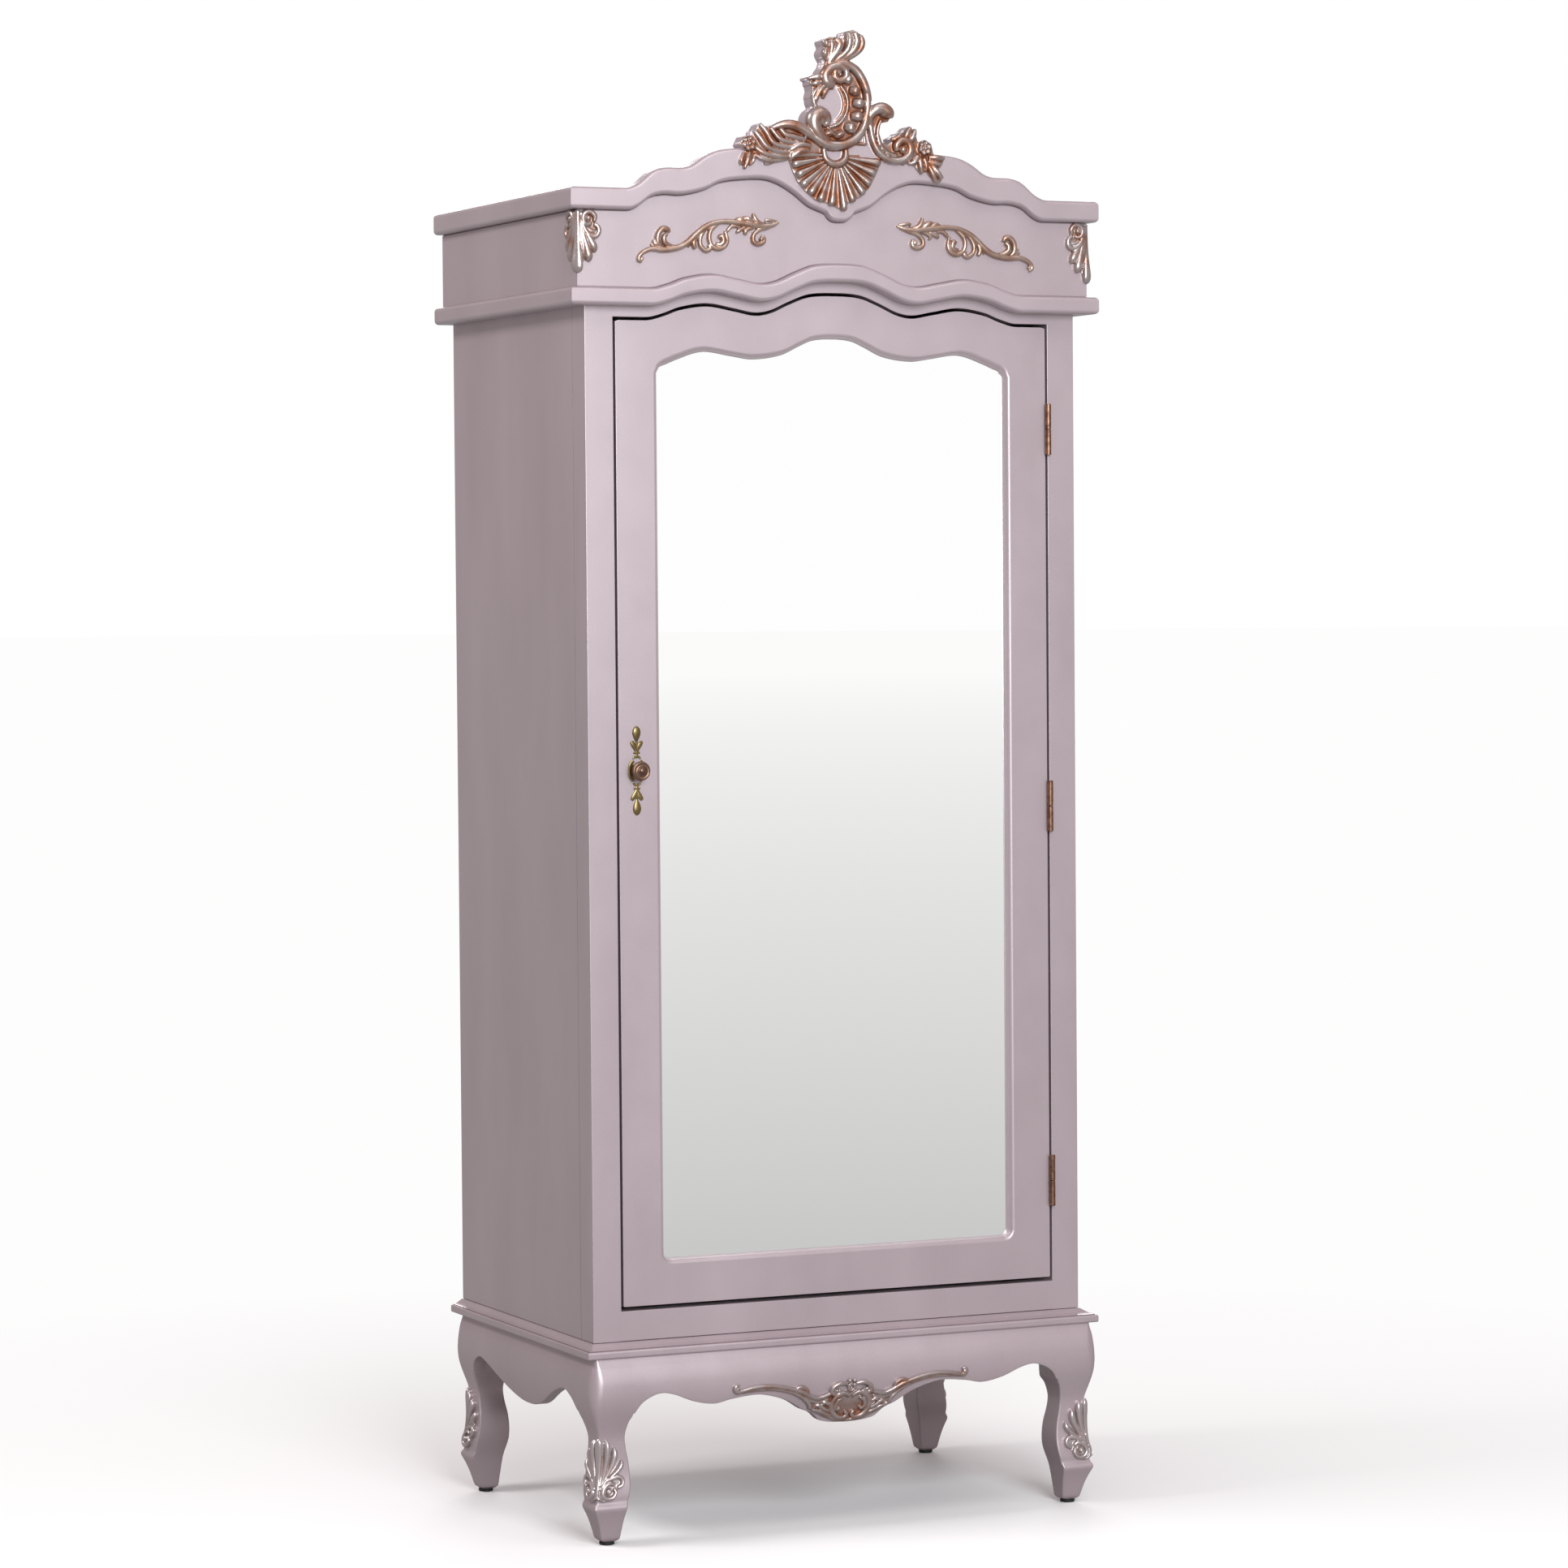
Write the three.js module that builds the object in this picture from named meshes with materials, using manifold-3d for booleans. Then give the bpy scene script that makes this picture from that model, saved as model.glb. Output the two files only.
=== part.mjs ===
// A one-door armoire: cabriole-leg base, mirrored door in a serpentine opening, carved crown.
// Millimetres, +Z up, the front faces -Y. The origin is on the floor under the middle of the piece.
// The carcass is glued and housed, the door hangs on three lift-off hinges at its right edge, and
// the crown is a separate box of mouldings fixed round the top of the carcass.
import * as THREE from 'three';
import { mergeVertices } from 'three/addons/utils/BufferGeometryUtils.js';
import Module from 'manifold-3d';

const manifold = await Module();
manifold.setup();

// ---- Driving dimensions -------------------------------------------------------------------------

const GAP = 0.3; // between two pieces that touch
const OVERRUN = 1; // how far a cutting tool or a joined piece runs past a face

// Carcass
const BODY_WIDTH = 790;
const BODY_DEPTH = 528;
const BODY_BASE = 293; // underside of the carcass above the floor
const SIDE_THICKNESS = 18;
const POST_WIDTH = 44;
const POST_DEPTH = 47;
const RAIL_THICKNESS = 22;
const BOTTOM_RAIL_HEIGHT = 43.5;
const PANEL_THICKNESS = 18;
const BACK_THICKNESS = 8;
const OPENING_HEIGHT = 1434; // bottom rail to the flat ends of the serpentine
const HEADROOM = 116; // flat ends of the opening to the underside of the top panel
const HOUSING_DEPTH = 6;
const SHELF_DROP = 248; // top of the hat shelf below the top panel
const SHELF_SETBACK = 12;
const RAIL_DROP = 72; // hanging rail's centre below the hat shelf
const RAIL_RADIUS = 12.5;
const SOCKET_DEPTH = 12;
const SOCKET_WALL = 3;

// Base
const GLIDE_HEIGHT = 5;
const GLIDE_RADIUS = 11;
const MOULDING_HEIGHT = 20;
const FOOT_INSET_SIDE = 19; // foot's axis inside the carcass's side face
const FOOT_INSET_FRONT = 3;
const FOOT_INSET_BACK = 41;
const BASE_PROUD_FRONT = 28;
const BASE_PROUD_SIDE = 19.5;
const LEG_BLOCK = 31; // leg's inner face to its axis where the apron joins it
const KNEE_SWELL = 36; // leg's outer face to its axis at the knee
const APRON_THICKNESS = 16;
const REAR_APRON_HEIGHT = 80;
const REAR_APRON_INSET = 5;

// Crown
const CROWN_PROUD_FRONT = 27;
const CROWN_PROUD_SIDE = 30;
const FRIEZE_PROUD_FRONT = 14;
const FRIEZE_PROUD_SIDE = 16;
const ARCHITRAVE_RISE = 15; // its lower edge above the edge of the door opening
const ARCHITRAVE_HEIGHT = 25.5;
const FRIEZE_HEIGHT = 111;
const CORNICE_HEIGHT = 31;
const CROWN_EDGE = 4; // rounding of the crown mouldings
const DUST_PANEL_THICKNESS = 9;

// Carvings
const CREST_DEPTH = 35;
const CREST_RELIEF = 11; // how far the crest stands in front of the pediment
const SCROLL_RELIEF = 7;
const CORNER_RELIEF = 6;
const APRON_RELIEF = 7;
const APRON_CLEARANCE = 1.2; // under the ornament that lies on the swelling apron

// Door
const DOOR_THICKNESS = 24;
const DOOR_GAP = 3;
const DOOR_GAP_BOTTOM = 5.5;
const DOOR_STILE_WIDTH = 68;
const DOOR_BOTTOM_RAIL_HEIGHT = 67;
const DOOR_TOP_RAIL_HEIGHT = 67.5; // at the flat ends
const MIRROR_RECESS = 11.5;
const MIRROR_THICKNESS = 4;
const BACKING_THICKNESS = 5;
const MIRROR_REBATE = 8; // how far the frame laps over the glass

// Hinges, knob and catch
const KNUCKLE_RADIUS = 4.5;
const KNUCKLE_CLEARANCE = 0.5; // between a knuckle and the door's face
const PIN_RADIUS = 2;
const PIN_CLEARANCE = 0.35;
const KNUCKLE_CAP = 3.5; // closed end of the upper knuckle
const HINGE_HEIGHT = 76;
const HINGE_LEAF_DEPTH = 20;
const HINGE_FROM_BOTTOM = 146.5; // lower hinge's middle above the foot of the door
const HINGE_FROM_TOP = 153.5; // upper hinge's middle below the flat ends of its head
const KNOB_RADIUS = 14;
const KNOB_STANDOFF = 21;
const KNOB_HEIGHT = 825; // above the bottom of the carcass
const KNOB_FROM_EDGE = 28;
const BACKPLATE_THICKNESS = 2.4;
const CATCH_HEIGHT = 46;
const CATCH_WIDTH = 13;
const CATCH_DEPTH = 15;
const CATCH_GAP = 0.6;
const STRIKE_THICKNESS = 1.6;

// ---- Levels and planes worked out from them -----------------------------------------------------

const HALF = BODY_WIDTH / 2;
const CREST_REACH = CROWN_PROUD_FRONT + CREST_RELIEF; // in front of the carcass
const APRON_REACH = KNEE_SWELL - FOOT_INSET_FRONT + APRON_CLEARANCE + APRON_RELIEF;
const OVERALL_DEPTH = BODY_DEPTH + Math.max(CREST_REACH, APRON_REACH);
const BACK_Y = OVERALL_DEPTH / 2;
const FRONT_Y = BACK_Y - BODY_DEPTH;
const SILL_Z = BODY_BASE + BOTTOM_RAIL_HEIGHT;
const SPRING_Z = SILL_Z + OPENING_HEIGHT; // flat ends of the serpentine
const CEILING_Z = SPRING_Z + HEADROOM;
const CARCASS_TOP = CEILING_Z + PANEL_THICKNESS;
const SHELF_TOP = CEILING_Z - SHELF_DROP;
const OPENING_HALF = HALF - POST_WIDTH;
const INSIDE_HALF = HALF - SIDE_THICKNESS;
const LEG_TOP = BODY_BASE - MOULDING_HEIGHT;
const FOOT_X = HALF - FOOT_INSET_SIDE;
const FOOT_FRONT_Y = FRONT_Y + FOOT_INSET_FRONT;
const FOOT_BACK_Y = BACK_Y - FOOT_INSET_BACK;
const ARCHITRAVE_Z = SPRING_Z + ARCHITRAVE_RISE;
const FRIEZE_Z = ARCHITRAVE_Z + ARCHITRAVE_HEIGHT;
const CORNICE_Z = FRIEZE_Z + FRIEZE_HEIGHT;
const CORNICE_TOP = CORNICE_Z + CORNICE_HEIGHT;
const DOOR_HALF = OPENING_HALF - DOOR_GAP;
const DOOR_BOTTOM = SILL_Z + DOOR_GAP_BOTTOM;
const MIRROR_HALF = DOOR_HALF - DOOR_STILE_WIDTH;
const MIRROR_BOTTOM = DOOR_BOTTOM + DOOR_BOTTOM_RAIL_HEIGHT;
const MIRROR_SPRING = SPRING_Z - DOOR_GAP - DOOR_TOP_RAIL_HEIGHT;
const KNUCKLE_PROUD = KNUCKLE_RADIUS + KNUCKLE_CLEARANCE; // hinge axis in front of the door
const HINGE_X = OPENING_HALF - DOOR_GAP / 2;
const HINGE_Y = FRONT_Y - KNUCKLE_PROUD;
const KNOB_X = -DOOR_HALF + KNOB_FROM_EDGE;
const KNOB_Z = BODY_BASE + KNOB_HEIGHT;

// ---- Curves -------------------------------------------------------------------------------------

// A smooth function through [station, value] points, level at both ends.
function smoothCurve(points) {
  const last = points.length - 1;
  const slope = points.map((point, i) => {
    if (i === 0 || i === last) return 0;
    return (points[i + 1][1] - points[i - 1][1]) / (points[i + 1][0] - points[i - 1][0]);
  });
  return (x) => {
    if (x <= points[0][0]) return points[0][1];
    if (x >= points[last][0]) return points[last][1];
    let i = 0;
    while (x > points[i + 1][0]) i += 1;
    const span = points[i + 1][0] - points[i][0];
    const t = (x - points[i][0]) / span;
    const rise = t * t * (3 - 2 * t);
    const bend = t * (1 - t) * span;
    return (
      THREE.MathUtils.lerp(points[i][1], points[i + 1][1], rise) +
      bend * ((1 - t) * slope[i] - t * slope[i + 1])
    );
  };
}

// The same on both sides of the middle, drawn for one half width and stretched to another.
function stretched(drawnHalf, half, points) {
  const curve = smoothCurve(points);
  return (x) => curve((Math.abs(x) * drawnHalf) / half);
}
const DRAWN_HALF = 395; // carcass half width for which the crown's curves are drawn
const DRAWN_MIRROR_HALF = 280;

// Serpentine shared by the door opening, the door and the architrave: rise over the flat ends.
const serpentine = stretched(DRAWN_HALF, HALF, [
  [0, 40], [41, 37.5], [72, 26.5], [102, 13.5], [127, 9.5], [160, 15], [203, 21.5], [246, 15.5],
  [272, 6.2], [300, 0],
]);
// The mirror's head is the same idea with softer shoulders.
const mirrorHead = stretched(DRAWN_MIRROR_HALF, MIRROR_HALF, [
  [0, 43.5], [31, 41], [51, 33], [82, 19], [127, 12.5], [160, 16.5], [200, 22.5], [220, 20],
  [246, 11], [280, 0],
]);
const pedimentTop = stretched(DRAWN_HALF, HALF, [
  [0, 65], [120, 64], [174, 61], [197, 57], [215, 49], [235, 36], [250, 31.5], [279, 30.5],
  [297, 25], [320, 7], [341, 0],
]);
const pedimentBottom = stretched(DRAWN_HALF, HALF, [
  [0, -8.5], [18, -3], [32, 6], [50, 13], [73, 31], [97, 44], [121, 50], [162, 48], [191, 43],
  [215, 32], [250, 24], [279, 24], [300, 19], [320, 5], [335, 0],
]);

// Heights in the base are drawn for one leg height and stretched to another.
const DRAWN_LEG_TOP = 273;
const legHeight = (z) => (z * LEG_TOP) / DRAWN_LEG_TOP;

// Lower edges of the aprons: heights over the floor at shares of the way from middle to arch, then
// at distances from the foot's axis.
const ARCH_FROM_FOOT = 74;
const archEnd = [[ARCH_FROM_FOOT, 219], [56, 214], [41, 203], [31, 188]];
const frontDrop = [
  [0, 153], [0.14, 157], [0.195, 170], [0.25, 177], [0.325, 191], [0.415, 201], [0.5, 205.5],
  [0.63, 202], [0.72, 197], [0.83, 203], [0.93, 215],
];
const sideDrop = [[0, 172], [0.15, 173.5], [0.3, 179], [0.45, 187.5], [0.6, 198], [0.8, 211]];

function apronEdge(footDistance, drop) {
  const arch = footDistance - ARCH_FROM_FOOT;
  const middle = drop.map(([share, height]) => [share * arch, legHeight(height)]);
  const ends = archEnd.map(([fromFoot, height]) => [footDistance - fromFoot, legHeight(height)]);
  return smoothCurve([...middle, ...ends]);
}

// Cabriole leg: height, outer face and inner face, both measured from the foot's axis.
const legShape = [
  [9, 14, 15], [20, 17, 16.5], [32, 20.5, 18], [44, 25, 19.5], [54, 29.5, 21], [58, 29.5, 21.8],
  [64, 26, 23.2], [72, 26, 25.5], [84, 24.5, 28.2], [100, 21.5, 29], [120, 19.5, 27.5],
  [140, 19, 23.8], [155, 19.5, 22], [165, 21.5, 22.5], [180, 26.5, 26], [190, 30, LEG_BLOCK],
  [202, 33.5, LEG_BLOCK], [214, 35.5, LEG_BLOCK], [226, KNEE_SWELL, LEG_BLOCK],
  [240, 35, LEG_BLOCK], [256, 31.5, LEG_BLOCK],
];
const LEG_LEVELS = [
  [GLIDE_HEIGHT + GAP, 11, 12.5],
  ...legShape.map(([z, outer, inner]) => [legHeight(z), outer, inner]),
  [LEG_TOP - GAP, 26, LEG_BLOCK],
];
const legFace = smoothCurve(LEG_LEVELS.map(([z, outer]) => [z, outer]));

// ---- Solids -------------------------------------------------------------------------------------

// Keep only positions, share the corners, and turn the faces outwards.
function solid(geometry) {
  const bare = new THREE.BufferGeometry();
  bare.setAttribute('position', geometry.attributes.position.clone());
  if (geometry.index) bare.setIndex(geometry.index.clone());
  const merged = mergeVertices(bare, 1e-4);
  const index = merged.index.array;
  const p = merged.attributes.position;
  const [a, b, c] = [new THREE.Vector3(), new THREE.Vector3(), new THREE.Vector3()];
  let volume = 0;
  for (let i = 0; i < index.length; i += 3) {
    a.fromBufferAttribute(p, index[i]);
    b.fromBufferAttribute(p, index[i + 1]);
    c.fromBufferAttribute(p, index[i + 2]);
    volume += a.dot(b.cross(c));
  }
  if (volume < 0) {
    for (let i = 0; i < index.length; i += 3) {
      [index[i], index[i + 1]] = [index[i + 1], index[i]];
    }
  }
  return merged;
}

function toManifold(geometry) {
  const { attributes, index } = solid(geometry);
  return new manifold.Manifold(
    new manifold.Mesh({
      numProp: 3,
      vertProperties: new Float32Array(attributes.position.array),
      triVerts: new Uint32Array(index.array),
    }),
  );
}

function fromManifold(shape) {
  const { vertProperties, triVerts } = shape.getMesh();
  const geometry = new THREE.BufferGeometry();
  geometry.setAttribute('position', new THREE.BufferAttribute(vertProperties, 3));
  geometry.setIndex(new THREE.BufferAttribute(triVerts, 1));
  return geometry;
}

const cut = (geometry, ...tools) =>
  fromManifold(tools.reduce((rest, tool) => rest.subtract(toManifold(tool)), toManifold(geometry)));
const join = (geometry, ...others) =>
  fromManifold(others.reduce((sum, other) => sum.add(toManifold(other)), toManifold(geometry)));

function box([x0, x1], [y0, y1], [z0, z1]) {
  const geometry = new THREE.BoxGeometry(x1 - x0, y1 - y0, z1 - z0);
  return geometry.translate((x0 + x1) / 2, (y0 + y1) / 2, (z0 + z1) / 2);
}

// A closed section [u, v] carried along t = 0..1, each point put in place by place(u, v, t).
function sweep(section, steps, place) {
  const shape = new THREE.Shape(section.map(([u, v]) => new THREE.Vector2(u, v)));
  const geometry = new THREE.ExtrudeGeometry(shape, { depth: 1, steps, bevelEnabled: false });
  const p = geometry.attributes.position;
  for (let i = 0; i < p.count; i += 1) p.setXYZ(i, ...place(p.getX(i), p.getY(i), p.getZ(i)));
  return solid(geometry);
}

// An outline [x, z] as a board between two Y planes.
function board(outline, [y0, y1]) {
  return sweep(outline, 1, (x, z, t) => [x, THREE.MathUtils.lerp(y0, y1, t), z]);
}

// Outline between two curves of x, from x0 to x1.
function between([x0, x1], steps, lower, upper) {
  const stations = Array.from({ length: steps + 1 }, (_, i) => x0 + ((x1 - x0) * i) / steps);
  const under = stations.map((x) => [x, lower(x)]);
  const over = stations.map((x) => [x, upper(x)]).reverse();
  return [...under, ...over];
}

const mirrored = (outline) => outline.map(([x, z]) => [-x, z]).reverse();

// ---- Model and finishes -------------------------------------------------------------------------

const finish = (color, roughness, metalness) =>
  new THREE.MeshStandardMaterial({ color, roughness, metalness, flatShading: true });
const FINISHES = {
  lacquer: () => finish(0xb9abb0, 0.38, 0.35),
  inside: () => finish(0xa99ca0, 0.55, 0.1),
  carving: () => finish(0xc9bdb9, 0.34, 0.6),
  gilding: () => finish(0xb98b6a, 0.34, 0.75),
  brass: () => finish(0x8a7a55, 0.4, 0.9),
  bronze: () => finish(0x7a5238, 0.35, 0.9),
  mirror: () => finish(0xf2f2f2, 0.03, 1),
  backing: () => finish(0x8d6f52, 0.8, 0),
  steel: () => finish(0xb8bcc0, 0.3, 0.95),
  rubber: () => finish(0x151515, 0.7, 0),
};

const armoire = new THREE.Group();
armoire.name = 'armoire';

function add(name, geometry, finishName, parent = armoire) {
  const mesh = new THREE.Mesh(geometry, FINISHES[finishName]());
  mesh.name = name;
  parent.add(mesh);
  return mesh;
}

// ---- Legs, glides and aprons --------------------------------------------------------------------

// The leg's section is a square cut from two faces, its outer corner eased.
const CORNER_EASE = 0.16;
const legSection = [
  [0, 0], [1, 0], [1, 1 - CORNER_EASE], [1 - 0.3 * CORNER_EASE, 1 - 0.3 * CORNER_EASE],
  [1 - CORNER_EASE, 1], [0, 1],
];
const legGeometry = sweep(legSection, LEG_LEVELS.length - 1, (u, v, t) => {
  const [z, outer, inner] = LEG_LEVELS[Math.round(t * (LEG_LEVELS.length - 1))];
  return [THREE.MathUtils.lerp(-inner, outer, u), THREE.MathUtils.lerp(-inner, outer, v), z];
});
const glideGeometry = new THREE.CylinderGeometry(GLIDE_RADIUS, GLIDE_RADIUS, GLIDE_HEIGHT, 20)
  .rotateX(Math.PI / 2)
  .translate(0, 0, GLIDE_HEIGHT / 2);

const CORNERS = [
  ['rear_right', FOOT_X, FOOT_BACK_Y], ['rear_left', -FOOT_X, FOOT_BACK_Y],
  ['front_left', -FOOT_X, FOOT_FRONT_Y], ['front_right', FOOT_X, FOOT_FRONT_Y],
];
CORNERS.forEach(([place, x, y], quarter) => {
  const leg = add(`leg_${place}`, legGeometry.clone(), 'lacquer');
  leg.position.set(x, y, 0);
  leg.rotation.z = (quarter * Math.PI) / 2;
  add(`glide_${place}`, glideGeometry.clone(), 'rubber').position.set(x, y, 0);
});

// An apron swells like the legs' faces; local -Y is outwards, x runs between two feet.
function apron(footDistance, drop, steps) {
  const reach = footDistance - LEG_BLOCK - GAP;
  const edge = apronEdge(footDistance, drop);
  const heights = [0, 0.25, 0.5, 0.75, 1];
  const section = [
    ...heights.map((v) => [0, v]),
    ...[1, 0.5, 0].map((v) => [APRON_THICKNESS, v]),
  ];
  return sweep(section, steps, (u, v, t) => {
    const x = THREE.MathUtils.lerp(-reach, reach, t);
    const z = THREE.MathUtils.lerp(edge(Math.abs(x)), LEG_TOP - GAP, v);
    return [x, u - legFace(z), z];
  });
}
const footMiddleY = (FOOT_FRONT_Y + FOOT_BACK_Y) / 2;
const footReach = (FOOT_BACK_Y - FOOT_FRONT_Y) / 2;
add('apron_front', apron(FOOT_X, frontDrop, 46), 'lacquer').position.y = FOOT_FRONT_Y;
for (const [side, sign] of [['left', -1], ['right', 1]]) {
  const sideApron = add(`apron_${side}`, apron(footReach, sideDrop, 30), 'lacquer');
  sideApron.position.set(sign * FOOT_X, footMiddleY, 0);
  sideApron.rotation.z = (sign * Math.PI) / 2;
}
const rearApronBack = BACK_Y - REAR_APRON_INSET;
add('apron_rear', box(
  [-FOOT_X + LEG_BLOCK + GAP, FOOT_X - LEG_BLOCK - GAP],
  [rearApronBack - APRON_THICKNESS, rearApronBack],
  [BODY_BASE - GAP - REAR_APRON_HEIGHT, BODY_BASE - GAP],
), 'lacquer');

// ---- Mouldings that run round the front and both sides ------------------------------------------

// A section's first value is a share of how far the moulding stands proud (0 at the carcass face),
// so the front and the sides meet in a clean mitre although they stand proud by different amounts.
function frontRun(section, [proudFront, proudSide], steps, level) {
  return sweep(section, steps, (share, v, t) => {
    const end = HALF + share * proudSide;
    const x = t === 0 ? -end : t === 1 ? end : THREE.MathUtils.lerp(-HALF, HALF, t);
    return [x, FRONT_Y - share * proudFront, level(v, x)];
  });
}
function sideRun(sign, section, [proudFront, proudSide], level) {
  return sweep(section, 1, (share, v, t) => {
    const front = FRONT_Y - share * proudFront + GAP;
    return [sign * (HALF + share * proudSide), THREE.MathUtils.lerp(front, BACK_Y, t), level(v)];
  });
}
const SIDES = [['left', -1], ['right', 1]];

// Base moulding: a rounded nose under an ogee that rises to the carcass.
const BASE_TONGUE = -1.5; // share of the profile that runs in under the carcass
const baseSection = [
  [BASE_TONGUE, 0], [0.9, 0], [1, 2.5], [1, 8.5], [0.86, 11.5], [0.62, 13], [0.42, 14.5],
  [0.2, 17.5], [0.04, MOULDING_HEIGHT - GAP], [BASE_TONGUE, MOULDING_HEIGHT - GAP],
];
const baseProud = [BASE_PROUD_FRONT, BASE_PROUD_SIDE];
add('base_moulding_front', frontRun(baseSection, baseProud, 1, (v) => LEG_TOP + v), 'lacquer');
for (const [side, sign] of SIDES) {
  const run = sideRun(sign, baseSection, baseProud, (v) => LEG_TOP + v);
  add(`base_moulding_${side}`, run, 'lacquer');
}

// Crown mouldings are set a gap off the carcass. ABOVE marks a section value that is measured from
// the upper edge, because the two edges of the front pieces follow different curves.
const ABOVE = 1000;
const CROWN_STEPS = 64;
const edgeLevel = (lower, upper) => (v, x) => (v > ABOVE / 2 ? upper(x) + v - ABOVE : lower(x) + v);
const backShare = (proud) => GAP / proud;
function crownSection(proud) {
  const inset = 1 - CROWN_EDGE / proud;
  const half = 1 - (0.3 * CROWN_EDGE) / proud;
  return [
    [backShare(proud), 0], [inset, 0], [half, 0.3 * CROWN_EDGE], [1, CROWN_EDGE],
    [1, ABOVE - CROWN_EDGE], [half, ABOVE - 0.3 * CROWN_EDGE], [inset, ABOVE],
    [backShare(proud), ABOVE],
  ];
}
const flatSection = (proud) => [
  [backShare(proud), GAP], [1, GAP], [1, ABOVE - GAP], [backShare(proud), ABOVE - GAP],
];
const crownProud = [CROWN_PROUD_FRONT, CROWN_PROUD_SIDE];
const friezeProud = [FRIEZE_PROUD_FRONT, FRIEZE_PROUD_SIDE];
const level = (z, curve) => (x) => z + curve(x);
const flat = (z) => () => z;
const CROWN_RUNS = [
  ['architrave', crownSection(CROWN_PROUD_FRONT), crownProud,
    level(ARCHITRAVE_Z, serpentine), level(FRIEZE_Z, serpentine), ARCHITRAVE_Z, FRIEZE_Z],
  ['frieze', flatSection(FRIEZE_PROUD_FRONT), friezeProud,
    level(FRIEZE_Z, serpentine), level(CORNICE_Z, pedimentBottom), FRIEZE_Z, CORNICE_Z],
  ['cornice', crownSection(CROWN_PROUD_FRONT), crownProud,
    level(CORNICE_Z, pedimentBottom), level(CORNICE_TOP, pedimentTop), CORNICE_Z, CORNICE_TOP],
];
for (const [name, section, proud, lower, upper, sideLower, sideUpper] of CROWN_RUNS) {
  const frontName = name === 'cornice' ? 'pediment_board' : `${name}_front`;
  add(frontName, frontRun(section, proud, CROWN_STEPS, edgeLevel(lower, upper)), 'lacquer');
  for (const [side, sign] of SIDES) {
    const run = sideRun(sign, section, proud, edgeLevel(flat(sideLower), flat(sideUpper)));
    add(`${name}_${side}`, run, 'lacquer');
  }
}
const crownPanelTop = CORNICE_TOP - CROWN_EDGE;
add('crown_top_panel', box(
  [-HALF, HALF], [FRONT_Y, BACK_Y], [crownPanelTop - DUST_PANEL_THICKNESS, crownPanelTop],
), 'inside');

// ---- Carcass ------------------------------------------------------------------------------------

const carcassHeight = [BODY_BASE + GAP, CARCASS_TOP];
const panelBack = BACK_Y - BACK_THICKNESS - GAP;
const shelfLevel = [SHELF_TOP - PANEL_THICKNESS, SHELF_TOP];
const shelfFront = FRONT_Y + POST_DEPTH + SHELF_SETBACK;
for (const [side, sign] of SIDES) {
  const sideOf = ([near, far]) => (sign > 0 ? [near, far] : [-far, -near]);
  add(`post_${side}`, box(
    sideOf([OPENING_HALF, HALF]), [FRONT_Y, FRONT_Y + POST_DEPTH], carcassHeight,
  ), 'lacquer');
  const panel = box(
    sideOf([INSIDE_HALF, HALF]), [FRONT_Y + POST_DEPTH + GAP, BACK_Y], carcassHeight,
  );
  const housing = box(
    sideOf([INSIDE_HALF - OVERRUN, INSIDE_HALF + HOUSING_DEPTH + GAP]),
    [shelfFront - GAP, panelBack + GAP],
    [shelfLevel[0] - GAP, shelfLevel[1] + GAP],
  );
  add(`side_panel_${side}`, cut(panel, housing), 'lacquer');
}
add('bottom_rail', box(
  [-OPENING_HALF + GAP, OPENING_HALF - GAP], [FRONT_Y, FRONT_Y + RAIL_THICKNESS],
  [BODY_BASE + GAP, SILL_Z],
), 'lacquer');
const topRailReach = OPENING_HALF - GAP;
add('top_rail', board(
  between([-topRailReach, topRailReach], 56, (x) => SPRING_Z + serpentine(x),
    () => CARCASS_TOP),
  [FRONT_Y, FRONT_Y + RAIL_THICKNESS],
), 'lacquer');
add('back_panel', box(
  [-INSIDE_HALF + GAP, INSIDE_HALF - GAP], [BACK_Y - BACK_THICKNESS, BACK_Y], carcassHeight,
), 'inside');

// Floor and ceiling reach forward between the posts to the back of the rails.
function notchedPanel(levels) {
  const panel = box(
    [-INSIDE_HALF + GAP, INSIDE_HALF - GAP],
    [FRONT_Y + RAIL_THICKNESS + GAP, panelBack],
    levels,
  );
  const notches = [-1, 1].map((sign) => box(
    sign > 0 ? [OPENING_HALF - GAP, HALF] : [-HALF, -OPENING_HALF + GAP],
    [FRONT_Y, FRONT_Y + POST_DEPTH + GAP],
    [levels[0] - OVERRUN, levels[1] + OVERRUN],
  ));
  return cut(panel, ...notches);
}
add('bottom_panel', notchedPanel([SILL_Z - PANEL_THICKNESS, SILL_Z]), 'inside');
add('top_panel', notchedPanel([CEILING_Z, CARCASS_TOP]), 'inside');
const shelfReach = INSIDE_HALF + HOUSING_DEPTH;
add('hat_shelf', box([-shelfReach, shelfReach], [shelfFront, panelBack], shelfLevel), 'inside');

// Hanging rail in two cup sockets.
const railY = (shelfFront + panelBack) / 2;
const railZ = shelfLevel[0] - RAIL_DROP;
const railReach = INSIDE_HALF - GAP - SOCKET_WALL - GAP;
const rail = new THREE.CylinderGeometry(RAIL_RADIUS, RAIL_RADIUS, 2 * railReach, 24);
add('hanging_rail', rail.rotateZ(Math.PI / 2), 'steel').position.set(0, railY, railZ);
const cupInner = RAIL_RADIUS + GAP;
const cupOuter = cupInner + SOCKET_WALL;
const socketProfile = [
  [0, 0], [cupOuter + SOCKET_WALL, 0], [cupOuter + SOCKET_WALL, SOCKET_WALL],
  [cupOuter, SOCKET_WALL], [cupOuter, SOCKET_DEPTH], [cupInner, SOCKET_DEPTH],
  [cupInner, SOCKET_WALL], [0, SOCKET_WALL],
].map(([r, h]) => new THREE.Vector2(r, h));
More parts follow.
